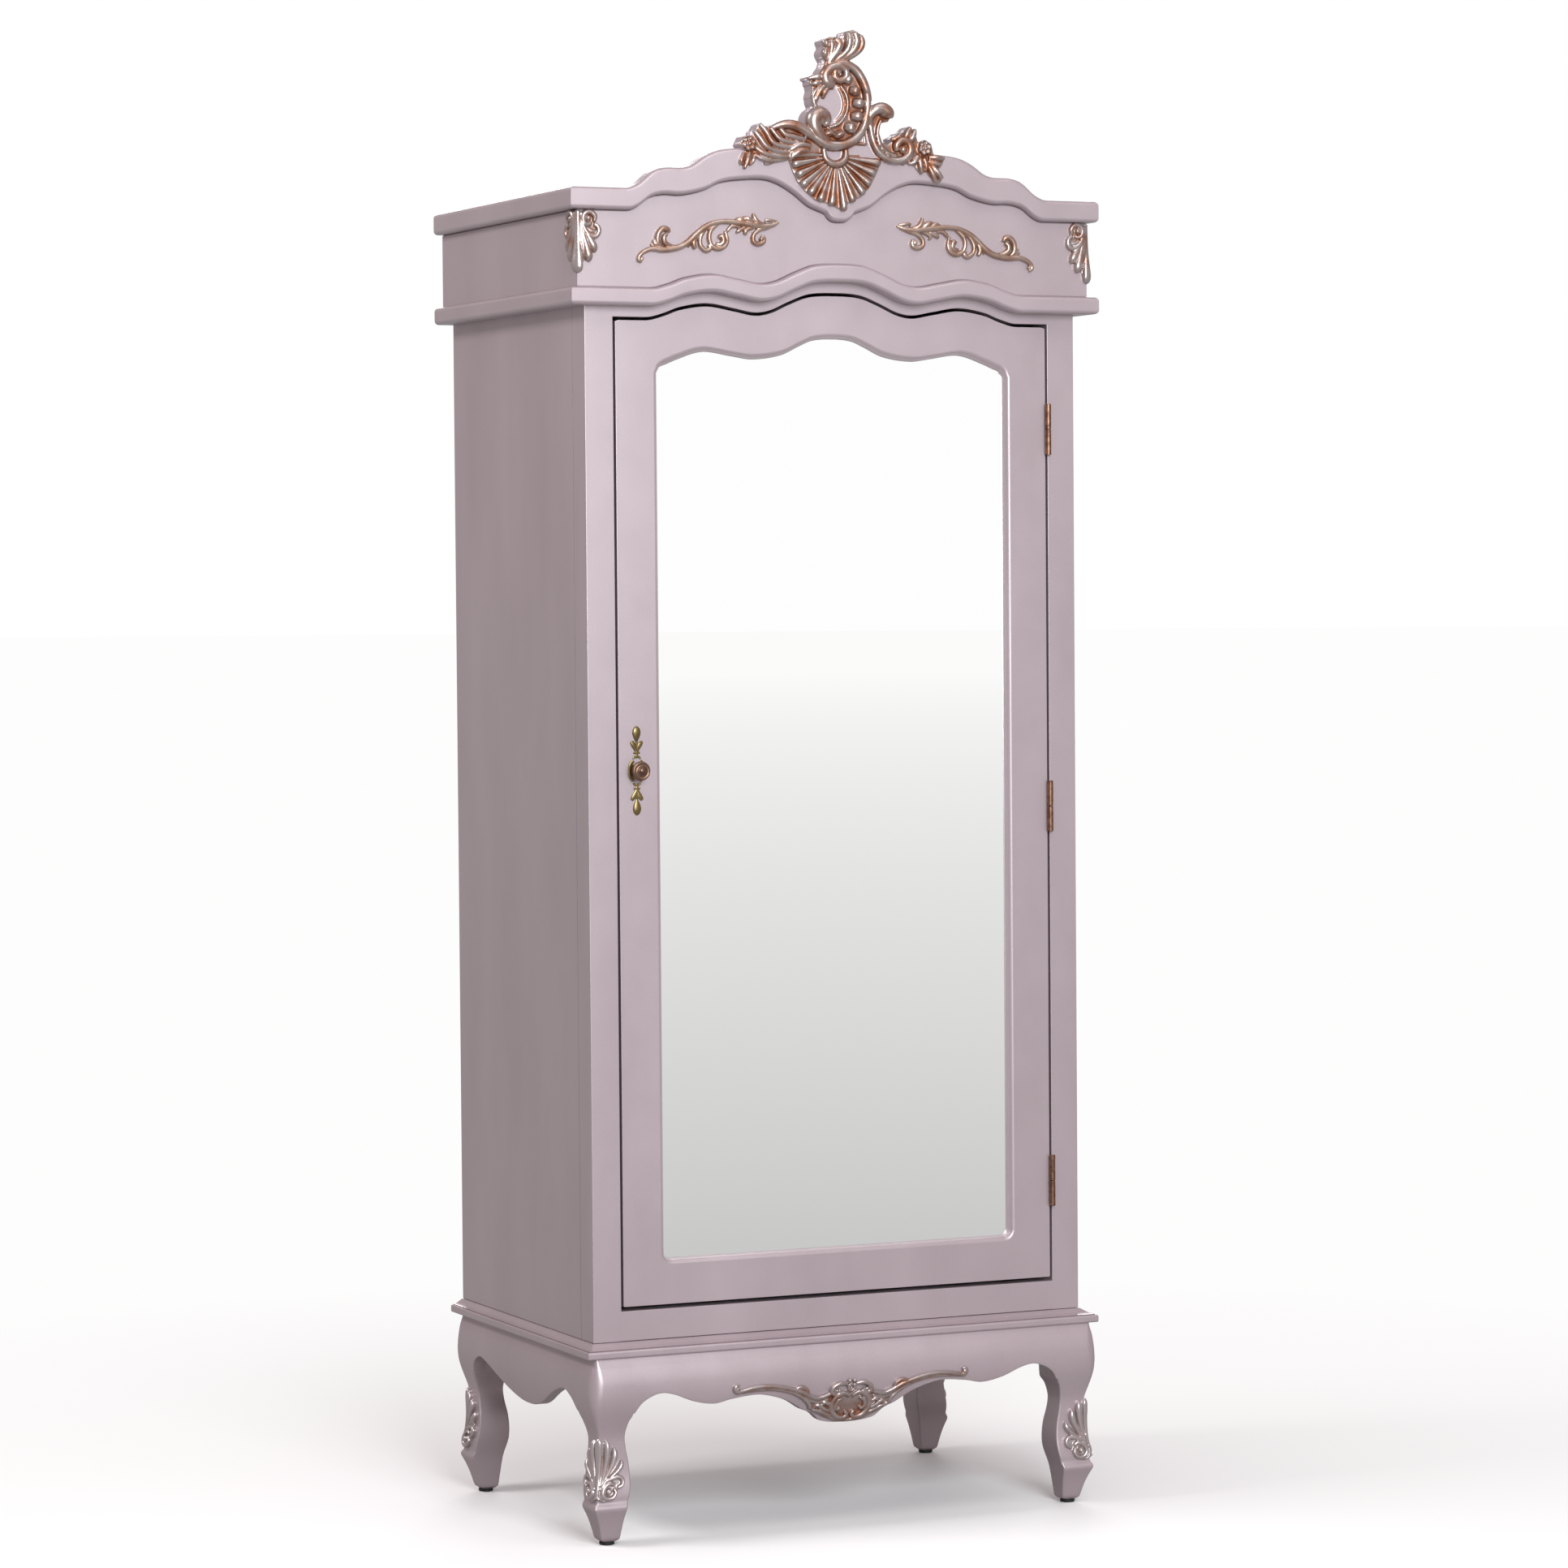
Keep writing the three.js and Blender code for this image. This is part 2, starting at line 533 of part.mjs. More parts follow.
for (const [side, sign] of SIDES) {
  const socket = solid(new THREE.LatheGeometry(socketProfile, 28));
  const mesh = add(`rail_socket_${side}`, socket, 'steel');
  mesh.rotation.z = (sign * Math.PI) / 2;
  mesh.position.set(sign * (INSIDE_HALF - GAP), railY, railZ);
}

// ---- Door ---------------------------------------------------------------------------------------

const doorDepth = [FRONT_Y, FRONT_Y + DOOR_THICKNESS];
const doorHead = (x) => SPRING_Z - DOOR_GAP + serpentine(x);
const glassHead = (x) => MIRROR_SPRING + mirrorHead(x);
// The glass and its backing lie in a rebate that is open to the back of the door.
function glazing(lap, depth) {
  const reach = MIRROR_HALF + lap;
  const outline = between([-reach, reach], 48, () => MIRROR_BOTTOM - lap, (x) => glassHead(x) + lap);
  return board(outline, depth);
}
const lap = MIRROR_REBATE;
const glassFront = FRONT_Y + MIRROR_RECESS;
const backingFront = glassFront + MIRROR_THICKNESS + GAP;
const rebate = glazing(lap + GAP, [glassFront - GAP, FRONT_Y + DOOR_THICKNESS + OVERRUN]);
for (const [side, sign] of SIDES) {
  const stile = board(
    between([MIRROR_HALF, DOOR_HALF], 8, () => DOOR_BOTTOM, doorHead), doorDepth,
  ).scale(sign, 1, 1);
  add(`door_stile_${side}`, cut(stile, rebate), 'lacquer');
}
const doorRailReach = MIRROR_HALF - GAP;
const doorRails = [
  ['door_bottom_rail', () => DOOR_BOTTOM, () => MIRROR_BOTTOM],
  ['door_top_rail', glassHead, doorHead],
];
for (const [name, lower, upper] of doorRails) {
  const outline = between([-doorRailReach, doorRailReach], 48, lower, upper);
  add(name, cut(board(outline, doorDepth), rebate), 'lacquer');
}
add('mirror_glass', glazing(lap, [glassFront, glassFront + MIRROR_THICKNESS]), 'mirror');
add('mirror_backing', glazing(lap, [backingFront, backingFront + BACKING_THICKNESS]), 'backing');

// ---- Hinges -------------------------------------------------------------------------------------

// Lift-off hinge: the frame leaf carries the lower knuckle and the pin, the door leaf the upper
// knuckle that drops over it. The leaves lie in the gap at the door's edge.
const knuckle = (radius, [z0, z1]) =>
  new THREE.CylinderGeometry(radius, radius, z1 - z0, 20)
    .rotateX(Math.PI / 2)
    .translate(0, 0, (z0 + z1) / 2);
const leafOuter = DOOR_GAP / 2 - GAP;
const leafInner = GAP / 3;
function hingeLeaf(sign, [z0, z1]) {
  const across = sign > 0 ? [leafInner, leafOuter] : [-leafOuter, -leafInner];
  const plate = box(across, [KNUCKLE_PROUD, HINGE_LEAF_DEPTH], [-HINGE_HEIGHT / 2, HINGE_HEIGHT / 2]);
  return join(plate, box(across, [0, KNUCKLE_PROUD + OVERRUN], [z0, z1]));
}
const lower = [-HINGE_HEIGHT / 2, -GAP];
const upper = [GAP, HINGE_HEIGHT / 2];
const boreTop = HINGE_HEIGHT / 2 - KNUCKLE_CAP;
const pin = knuckle(PIN_RADIUS, [-OVERRUN - GAP, boreTop - 2 * GAP]);
const bore = knuckle(PIN_RADIUS + PIN_CLEARANCE, [0, boreTop]);
const frameLeaf = join(hingeLeaf(1, lower), knuckle(KNUCKLE_RADIUS, lower), pin);
const doorLeaf = cut(join(hingeLeaf(-1, upper), knuckle(KNUCKLE_RADIUS, upper)), bore);
const lowerHingeZ = DOOR_BOTTOM + HINGE_FROM_BOTTOM;
const upperHingeZ = SPRING_Z - DOOR_GAP - HINGE_FROM_TOP;
const HINGES = [
  ['lower', lowerHingeZ], ['middle', (lowerHingeZ + upperHingeZ) / 2], ['upper', upperHingeZ],
];
HINGES.forEach(([place, z]) => {
  add(`hinge_frame_leaf_${place}`, frameLeaf.clone(), 'brass').position.set(HINGE_X, HINGE_Y, z);
  add(`hinge_door_leaf_${place}`, doorLeaf.clone(), 'brass').position.set(HINGE_X, HINGE_Y, z);
});

// ---- Knob, backplate and catch ------------------------------------------------------------------

// Backplate: long leaf tips, fishtails and a round rosette in the middle; half outline, then whole.
const plateHalf = [
  [0, 64.5], [4.5, 58], [6.5, 51], [4.5, 44.5], [2, 42.5], [9.2, 43], [8, 35], [4.5, 27.5],
  [5.5, 25], [3, 21], [3.5, 16], [9, 14], [12.5, 9.5], [14.5, 0],
];
const plateQuarter = plateHalf.map(([x, z]) => [x, -z]).reverse().slice(1);
const plateRight = [...plateHalf, ...plateQuarter];
const plateOutline = [...plateRight, ...mirrored(plateRight).slice(1, -1)];
const backplate = board(plateOutline, [-BACKPLATE_THICKNESS - GAP, -GAP]);
add('knob_backplate', backplate, 'brass').position.set(KNOB_X, FRONT_Y, KNOB_Z);
const knobProfile = [
  [0, 0], [6.5, 0], [5, 3], [4.5, 8], [9, 10.5], [KNOB_RADIUS - 0.8, 12.5], [KNOB_RADIUS, 14.5],
  [KNOB_RADIUS - 1.5, 17], [6.5, 18.2], [5.5, KNOB_STANDOFF - 1.2], [0, KNOB_STANDOFF],
].map(([r, h]) => new THREE.Vector2(r, h));
const knob = add('knob', solid(new THREE.LatheGeometry(knobProfile, 28)), 'bronze');
knob.rotation.x = Math.PI;
knob.position.set(KNOB_X, FRONT_Y - BACKPLATE_THICKNESS - 2 * GAP, KNOB_Z);

// Magnetic catch on the left post's inner face, its strike on the back of the door.
const strikeBack = FRONT_Y + DOOR_THICKNESS + GAP + STRIKE_THICKNESS;
const catchX = [-OPENING_HALF + GAP, -OPENING_HALF + GAP + CATCH_WIDTH];
const catchZ = [KNOB_Z - CATCH_HEIGHT / 2, KNOB_Z + CATCH_HEIGHT / 2];
add('catch_body', box(
  catchX, [strikeBack + CATCH_GAP, strikeBack + CATCH_GAP + CATCH_DEPTH], catchZ,
), 'steel');
add('catch_strike', box(
  [-DOOR_HALF + OVERRUN, catchX[1]], [strikeBack - STRIKE_THICKNESS, strikeBack], catchZ,
), 'steel');

// ---- Carvings -----------------------------------------------------------------------------------

// Crest: a shell under a C-scroll with acanthus arms. Points are x and height over the cornice top.
const crestOutline = [
  [-3, -23], [20, -16], [38, 0], [54, 17], [66, 42], [95, 48], [118, 55], [130, 42], [142, 28],
  [166, 21], [162, 42], [172, 58], [156, 65], [150, 82], [134, 86], [126, 103], [112, 102],
  [98, 92], [84, 90], [76, 78], [66, 82], [60, 98], [66, 110], [82, 108], [88, 120], [80, 134],
  [54, 136], [48, 155], [34, 180], [14, 198], [34, 210], [40, 226], [32, 238], [10, 240],
  [-4, 230], [-22, 228], [-30, 208], [-26, 178], [-42, 168], [-62, 162], [-46, 144], [-40, 128],
  [-50, 108], [-64, 100], [-98, 100], [-130, 100], [-148, 92], [-152, 76], [-160, 60],
  [-152, 30], [-136, 42], [-108, 48], [-84, 44], [-64, 16], [-44, -4], [-24, -16],
].map(([x, rise]) => [x, CORNICE_TOP + rise]);
const crestFront = FRONT_Y - CREST_REACH;
const behindCrest = board(
  between([-HALF, HALF], CROWN_STEPS, () => CORNICE_Z - CORNICE_HEIGHT,
    (x) => CORNICE_TOP + pedimentTop(x) + GAP),
  [FRONT_Y - CROWN_PROUD_FRONT - GAP, FRONT_Y + CREST_DEPTH],
);
const crestBlock = board(crestOutline, [crestFront, crestFront + CREST_DEPTH]);
add('crest_carving', cut(crestBlock, behindCrest), 'carving');

// Frieze scroll: x from the middle and height over the lower edge of the frieze, right hand.
const scrollOutline = [
  [90, 98], [108, 103], [122, 101], [132, 113], [142, 106], [174, 101], [196, 98], [214, 89],
  [236, 68], [260, 63], [260, 81], [270, 87], [281, 83], [290, 69], [310, 55], [316, 44],
  [309, 38], [303, 45], [306, 52], [294, 57], [268, 52], [238, 56], [208, 51], [178, 57],
  [172, 77], [164, 88], [146, 87], [132, 82], [128, 68], [116, 67], [111, 78], [124, 88], [110, 92],
].map(([x, rise]) => [x, FRIEZE_Z + rise]);
const scrollDepth = [
  FRONT_Y - FRIEZE_PROUD_FRONT - GAP - SCROLL_RELIEF, FRONT_Y - FRIEZE_PROUD_FRONT - GAP,
];
add('frieze_scroll_left', board(mirrored(scrollOutline), scrollDepth), 'gilding');
add('frieze_scroll_right', board(scrollOutline, scrollDepth), 'gilding');

// Corner ornament: half a shell on the front and half on the side, joined round the corner.
// Points are the distance from the corner and the drop below the top of the frieze.
const CORNER_HEAD_CLEARANCE = 1;
const cornerLobes = [
  [0, 0], [20, 0], [32, 5], [37, 15], [31, 23], [38, 32], [33, 43], [25, 50], [23, 60], [15, 66],
  [11, 79], [6, 88], [0, 90],
];
const cornerTop = CORNICE_Z - CORNER_HEAD_CLEARANCE;
const friezeCorner = [HALF + FRIEZE_PROUD_SIDE + GAP, FRONT_Y - FRIEZE_PROUD_FRONT - GAP];
const cornerOutline = [
  ...cornerLobes.map(([along, drop]) => [friezeCorner[0] - along, cornerTop - drop]),
  [friezeCorner[0] + CORNER_RELIEF, cornerTop - cornerLobes.at(-1)[1]],
  [friezeCorner[0] + CORNER_RELIEF, cornerTop],
];
const cornerFront = board(cornerOutline, [friezeCorner[1] - CORNER_RELIEF, friezeCorner[1]]);
const cornerSide = sweep(cornerLobes, 1, (along, drop, t) => [
  friezeCorner[0] + t * CORNER_RELIEF, friezeCorner[1] - OVERRUN + along, cornerTop - drop,
]);
const cornerOrnament = join(cornerFront, cornerSide);
add('corner_ornament_right', cornerOrnament, 'carving');
add('corner_ornament_left', solid(cornerOrnament.clone().scale(-1, 1, 1)), 'carving');

// Apron ornament: a cartouche between two long stems that follow the apron's lower edge.
const stemOutline = [
  [0, 214], [7, 216], [15, 211], [27, 208], [36, 199], [46, 191], [62, 194], [78, 204], [84, 212],
  [94, 212], [106, 206], [126, 212], [150, 217], [176, 216], [184, 222], [190, 214], [182, 208],
  [150, 210], [128, 205], [102, 195], [88, 186], [76, 178], [64, 174], [52, 163], [40, 158],
  [20, 155], [0, 154],
];
const apronOutline = [...stemOutline, ...mirrored(stemOutline).slice(1, -1)];
add('apron_ornament', sweep(apronOutline, 1, (x, drawn, t) => {
  const z = legHeight(drawn);
  return [x, FOOT_FRONT_Y - legFace(z) - APRON_CLEARANCE - t * APRON_RELIEF, z];
}), 'carving');

export default armoire;
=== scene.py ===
import math

import bmesh
import bpy
import numpy as np
from mathutils import Matrix, Vector


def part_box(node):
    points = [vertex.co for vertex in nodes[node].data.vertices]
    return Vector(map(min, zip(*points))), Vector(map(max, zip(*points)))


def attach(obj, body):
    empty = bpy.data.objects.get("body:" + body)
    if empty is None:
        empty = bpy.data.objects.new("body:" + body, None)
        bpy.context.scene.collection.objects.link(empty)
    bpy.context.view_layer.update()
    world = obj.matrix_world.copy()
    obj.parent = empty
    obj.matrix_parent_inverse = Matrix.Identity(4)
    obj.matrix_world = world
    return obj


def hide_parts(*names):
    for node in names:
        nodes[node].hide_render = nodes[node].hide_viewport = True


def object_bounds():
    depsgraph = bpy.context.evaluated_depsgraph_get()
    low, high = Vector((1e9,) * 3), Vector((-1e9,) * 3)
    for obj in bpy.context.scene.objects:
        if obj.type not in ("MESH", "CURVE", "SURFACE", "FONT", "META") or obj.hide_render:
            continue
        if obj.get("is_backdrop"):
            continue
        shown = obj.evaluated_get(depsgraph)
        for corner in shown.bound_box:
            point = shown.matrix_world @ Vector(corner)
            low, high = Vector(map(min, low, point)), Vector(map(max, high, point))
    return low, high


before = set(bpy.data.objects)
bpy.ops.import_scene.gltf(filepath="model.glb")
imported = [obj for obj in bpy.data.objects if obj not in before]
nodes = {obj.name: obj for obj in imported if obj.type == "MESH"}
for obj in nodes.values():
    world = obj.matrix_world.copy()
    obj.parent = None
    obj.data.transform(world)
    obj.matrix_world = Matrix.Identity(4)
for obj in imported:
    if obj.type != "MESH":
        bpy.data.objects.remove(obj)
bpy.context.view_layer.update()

# ---- Legs -----------------------------------------------------------------------------------------
# Four cabriole legs, band-sawn from solid rubberwood on two faces and spokeshaved. The knee swells
# to meet the aprons, the ankle is lean and the foot tapers to its glide. Sprayed metallic lacquer.


def span(node):
    """Lowest and highest corner of a CAD node, in millimetres."""
    low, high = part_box(node)
    return low * 1000, high * 1000


def linear(hex_colour):
    """An sRGB hex colour as linear RGBA."""
    channels = [int(hex_colour[i : i + 2], 16) / 255 for i in (1, 3, 5)]
    return [c / 12.92 if c <= 0.04045 else ((c + 0.055) / 1.055) ** 2.4 for c in channels] + [1]


def add(tree, kind, inputs, **settings):
    """One node of a material: each input is a value or another node's output."""
    node = tree.nodes.new("ShaderNode" + kind)
    for name, value in settings.items():
        setattr(node, name, value)
    for socket, value in inputs.items():
        if isinstance(value, bpy.types.NodeSocket):
            tree.links.new(value, node.inputs[socket])
        else:
            node.inputs[socket].default_value = value
    return node


def per_metre(millimetres):
    """Noise scale at which one blob of the pattern is that wide."""
    return 1000 / millimetres


def material(name, shader):
    """A material with the fixed values of its shader, and its node tree to add patterns to."""
    made = bpy.data.materials.new(name)
    made.use_nodes = True
    tree = made.node_tree
    surface = tree.nodes["Principled BSDF"]
    for socket, value in shader.items():
        surface.inputs[socket].default_value = value
    place = add(tree, "TexCoord", {}).outputs["Object"]
    return made, tree, surface, place


def lacquer(name, light, shade, shader, flake=0.10):
    """Metallic lacquer, sprayed in three coats over sealed wood: aluminium flake in a mauve binder.
    It gives a soft satin sheen, a fine sparkle, and long faint clouds where the passes overlap."""
    made, tree, surface, place = material(name, shader)
    stretched = add(tree, "Mapping", {"Vector": place, "Scale": (1, 1, 0.32)})
    clouds = add(
        tree, "TexNoise", {"Vector": stretched.outputs[0], "Scale": per_metre(130), "Detail": 3}
    )
    # Flakes are about 0.1 mm; they are drawn at 1.6 mm, the finest that shows.
    flakes = add(tree, "TexNoise", {"Vector": place, "Scale": per_metre(1.6), "Detail": 1})
    flake_light = add(tree, "MapRange", {0: flakes.outputs[0], 1: 0.3, 2: 0.7, 3: -flake, 4: flake})
    tone = add(tree, "Math", {0: clouds.outputs[0], 1: flake_light.outputs[0]}, operation="ADD")
    spread = add(tree, "MapRange", {0: tone.outputs[0], 1: 0.18, 2: 0.82})
    colour = add(
        tree, "Mix", {0: spread.outputs[0], 6: linear(shade), 7: linear(light)}, data_type="RGBA"
    )
    tree.links.new(colour.outputs[2], surface.inputs["Base Color"])
    sheen = add(tree, "TexNoise", {"Vector": place, "Scale": per_metre(45), "Detail": 2})
    rough = shader["Roughness"]
    roughness = add(
        tree, "MapRange", {0: sheen.outputs[0], 1: 0.3, 2: 0.7, 3: rough - 0.02, 4: rough + 0.03}
    )
    tree.links.new(roughness.outputs[0], surface.inputs["Roughness"])
    # Orange peel of the sprayed film, 4 mm across and a few hundredths deep.
    peel = add(tree, "TexNoise", {"Vector": place, "Scale": per_metre(4), "Detail": 1})
    bump = add(tree, "Bump", {"Height": peel.outputs[0], "Strength": 0.25, "Distance": 0.00012})
    tree.links.new(bump.outputs[0], surface.inputs["Normal"])
    return made


SATIN = {"Metallic": 0.45, "Roughness": 0.41, "Coat Weight": 0.6, "Coat Roughness": 0.3}
metallic_lacquer = lacquer("metallic_lacquer_sprayed", "#B9A9AE", "#AA9A9F", SATIN)
SHARP_OVER = 32


def piece(name, bm, body, finish, replaced=(), crease=SHARP_OVER):
    """Turns a bmesh in millimetres into a finished piece that rides on its body."""
    bmesh.ops.recalc_face_normals(bm, faces=bm.faces)
    bm.transform(Matrix.Scale(0.001, 4))
    mesh = bpy.data.meshes.new(name)
    bm.to_mesh(mesh)
    bm.free()
    mesh.materials.append(finish)
    mesh.shade_smooth()
    mesh.set_sharp_from_angle(angle=math.radians(crease))
    made = bpy.data.objects.new(name, mesh)
    bpy.context.scene.collection.objects.link(made)
    # Broad flats keep their own normal right up to the rounded edges.
    made.modifiers.new("true_flats", "WEIGHTED_NORMAL").keep_sharp = True
    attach(made, body)
    if replaced:
        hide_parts(*replaced)
    return made


def lacquered(name, bm, replaced, body="carcass"):
    """A piece in the armoire's own lacquer."""
    return piece(name, bm, body, metallic_lacquer, replaced)


def smooth_curve(points):
    """A smooth function through (station, value) points, level at both ends."""
    xs, ys = zip(*points)
    slopes = [0.0] * len(xs)
    for i in range(1, len(xs) - 1):
        slopes[i] = (ys[i + 1] - ys[i - 1]) / (xs[i + 1] - xs[i - 1])

    def curve(x):
        x = min(max(x, xs[0]), xs[-1])
        i = 0
        while i < len(xs) - 2 and x > xs[i + 1]:
            i += 1
        width = xs[i + 1] - xs[i]
        t = (x - xs[i]) / width
        rise = t * t * (3 - 2 * t)
        bend = t * (1 - t) * width
        ease = (1 - t) * slopes[i] - t * slopes[i + 1]
        return ys[i] + (ys[i + 1] - ys[i]) * rise + bend * ease

    return curve


def sweep(section, steps, place):
    """A closed section carried along steps + 1 stations and capped; place(entry, t) puts a point."""
    bm = bmesh.new()
    count = len(section)
    bmesh.ops.create_grid(bm, x_segments=count, y_segments=steps, size=0.5)
    for vert in bm.verts:
        entry = section[round((vert.co.x + 0.5) * count) % count]
        vert.co = place(entry, round((vert.co.y + 0.5) * steps) / steps)
    bmesh.ops.remove_doubles(bm, verts=bm.verts, dist=0.001)
    bmesh.ops.holes_fill(bm, edges=[e for e in bm.edges if e.is_boundary], sides=0)
    return bm


LEG_TOP = span("base_moulding_front")[0].z
FOOT_BOTTOM = span("glide_front_left")[1].z
leg_outer = smooth_curve(
    [
        (FOOT_BOTTOM, 11), (9, 14), (20, 17), (32, 20.5), (44, 25), (54, 29.5), (58, 29.5), (64, 26),
        (72, 26), (84, 24.5), (100, 21.5), (120, 19.5), (140, 19), (155, 19.5), (165, 21.5),
        (180, 26.5), (190, 30), (202, 33.5), (214, 35.5), (226, 36), (240, 35), (256, 31.5),
        (LEG_TOP, 26),
    ]
)  # fmt: skip
leg_inner = smooth_curve(
    [
        (FOOT_BOTTOM, 12.5), (9, 15), (20, 16.5), (32, 18), (44, 19.5), (54, 21), (58, 21.8),
        (64, 23.2), (72, 25.5), (84, 28.2), (100, 29), (120, 27.5), (140, 23.8), (155, 22),
        (165, 22.5), (180, 26), (190, 31), (256, 31), (LEG_TOP, 31),
    ]
)  # fmt: skip
leg_corner = smooth_curve(
    [(FOOT_BOTTOM, 2.5), (54, 2), (64, 3), (90, 4), (140, 3), (170, 4), (190, 9), (215, 17),
     (238, 19), (258, 12), (LEG_TOP, 4)]
)  # fmt: skip
INNER_CORNER = 2.5
CORNER_STEPS = 6
LEG_STATIONS = 90
# A leg stops short of its glide and of the moulding by this much.
CLEAR = 0.3
toe_in = smooth_curve([(FOOT_BOTTOM, 1.6), (FOOT_BOTTOM + 3, 0)])


def leg_point(entry, t):
    """Entry is (which corner of the square, step round it); the outer corner comes first."""
    corner, step = entry
    z = FOOT_BOTTOM + CLEAR + (LEG_TOP - 2 * CLEAR - FOOT_BOTTOM) * t
    outer, inner = leg_outer(z) - toe_in(z), leg_inner(z) - toe_in(z)
    radius = leg_corner(z) if corner == 0 else INNER_CORNER
    side_x = outer - radius if corner in (0, 3) else -(inner - radius)
    side_y = outer - radius if corner in (0, 1) else -(inner - radius)
    angle = math.radians(90 * corner + 90 * step / CORNER_STEPS)
    return side_x + radius * math.cos(angle), side_y + radius * math.sin(angle), z


LEG_SECTION = [(corner, step) for corner in range(4) for step in range(CORNER_STEPS + 1)]
FEET = {}
for name, side_x, side_y in (
    ("front_left", -1, -1),
    ("front_right", 1, -1),
    ("rear_left", -1, 1),
    ("rear_right", 1, 1),
):
    low, high = span(f"glide_{name}")
    FEET[name] = ((low.x + high.x) / 2, (low.y + high.y) / 2, side_x, side_y)
    leg = sweep(LEG_SECTION, LEG_STATIONS, leg_point)
    foot_x, foot_y = FEET[name][:2]
    bmesh.ops.scale(leg, verts=leg.verts, vec=(side_x, side_y, 1))
    bmesh.ops.translate(leg, verts=leg.verts, vec=(foot_x, foot_y, 0))
    lacquered(f"cabriole_{name}", leg, [f"leg_{name}"])

# ---- Glides ---------------------------------------------------------------------------------------
# Round nylon glides nailed under the feet, moulded black, with an eased rim and a nail hole.


def moulded_nylon():
    """Black nylon, injection moulded: dull, with a faint grain."""
    made, tree, surface, place = material(
        "nylon_moulded_black", {"Base Color": linear("#1A1A1B"), "Roughness": 0.55}
    )
    grain = add(tree, "TexNoise", {"Vector": place, "Scale": per_metre(1.2), "Detail": 2})
    dull = add(tree, "MapRange", {0: grain.outputs[0], 3: 0.45, 4: 0.68})
    tree.links.new(dull.outputs[0], surface.inputs["Roughness"])
    bump = add(tree, "Bump", {"Height": grain.outputs[0], "Strength": 0.3, "Distance": 0.0001})
    tree.links.new(bump.outputs[0], surface.inputs["Normal"])
    return made


def turned(profile, centre, axis="Z", steps=48):
    """A (radius, height) profile turned round an axis that points up, to -Y or to X."""
    bm = bmesh.new()
    verts = [bm.verts.new((radius, 0, height)) for radius, height in profile]
    edges = [bm.edges.new(pair) for pair in zip(verts, verts[1:])]
    bmesh.ops.spin(
        bm, geom=verts + edges, cent=(0, 0, 0), axis=(0, 0, 1), angle=math.tau, steps=steps,
        use_merge=True,
    )  # fmt: skip
    bmesh.ops.remove_doubles(bm, verts=bm.verts, dist=0.001)
    tip_over = {"Z": (0, "X"), "-Y": (math.pi / 2, "X"), "X": (math.pi / 2, "Y")}
    angle, about = tip_over[axis]
    bm.transform(Matrix.Translation(centre) @ Matrix.Rotation(angle, 4, about))
    return bm


black_nylon = moulded_nylon()
for name, (foot_x, foot_y, *_) in FEET.items():
    low, high = span(f"glide_{name}")
    radius = (high.x - low.x) / 2
    profile = [
        (0, 1.6), (2, 1.6), (2.4, 0), (radius - 1.5, 0), (radius - 0.4, 0.5), (radius, 1.6),
        (radius, high.z - 0.6), (radius - 0.5, high.z), (0, high.z),
    ]  # fmt: skip
    glide = turned(profile, (foot_x, foot_y, 0))
    piece(f"glide_{name}_nailed", glide, "carcass", black_nylon, [f"glide_{name}"])

# ---- Aprons ---------------------------------------------------------------------------------------
# Shaped aprons of 16 mm board, coopered to the swell of the knees and cut to a flowing lower edge
# that runs into the legs' arches. The rear one is a plain board.
APRON_THICKNESS = 16
LEG_BLOCK = 31
ARCH_FROM_FOOT = 74
ARCH_END = [(ARCH_FROM_FOOT, 219), (56, 214), (41, 204), (LEG_BLOCK, 190.5)]
FRONT_DROP = [
    (0, 153), (0.14, 157), (0.195, 170), (0.25, 177), (0.325, 191), (0.415, 201), (0.5, 205.5),
    (0.63, 202), (0.72, 197), (0.83, 203), (0.93, 215),
]  # fmt: skip
SIDE_DROP = [(0, 172), (0.15, 173.5), (0.3, 179), (0.45, 187.5), (0.6, 198), (0.8, 211)]
APRON_ROUNDS = 14
FRONT_CUTS = 150
SIDE_CUTS = 90
EASE = 1.4
LAP_OVER_LEG = 2.3
# Each entry is (depth behind the face, share of the height, millimetres above that).
APRON_SECTION = [(APRON_THICKNESS, 1, 0), (APRON_THICKNESS, 0, 0), (EASE, 0, 0), (0.4, 0, 0.4)] + [
    (0, round_ / APRON_ROUNDS, EASE * (1 - round_ / APRON_ROUNDS))
    for round_ in range(APRON_ROUNDS + 1)
]


def apron(foot_distance, drop, steps):
    """One shaped apron: its x runs between two feet, and -Y is outwards."""
    arch = foot_distance - ARCH_FROM_FOOT
    stations = [(share * arch, height) for share, height in drop]
    stations += [(foot_distance - from_foot, height) for from_foot, height in ARCH_END]
    edge = smooth_curve(stations)
    # Each end laps the rounded corner of the leg, so that no joint shows.
    reach = foot_distance - LEG_BLOCK + LAP_OVER_LEG

    def place(entry, t):
        depth, share, above = entry
        x = -reach + 2 * reach * t
        bottom = edge(abs(x))
        z = bottom + (LEG_TOP - CLEAR - bottom) * share + above
        return x, depth - leg_outer(z), z

    return sweep(APRON_SECTION, steps, place)


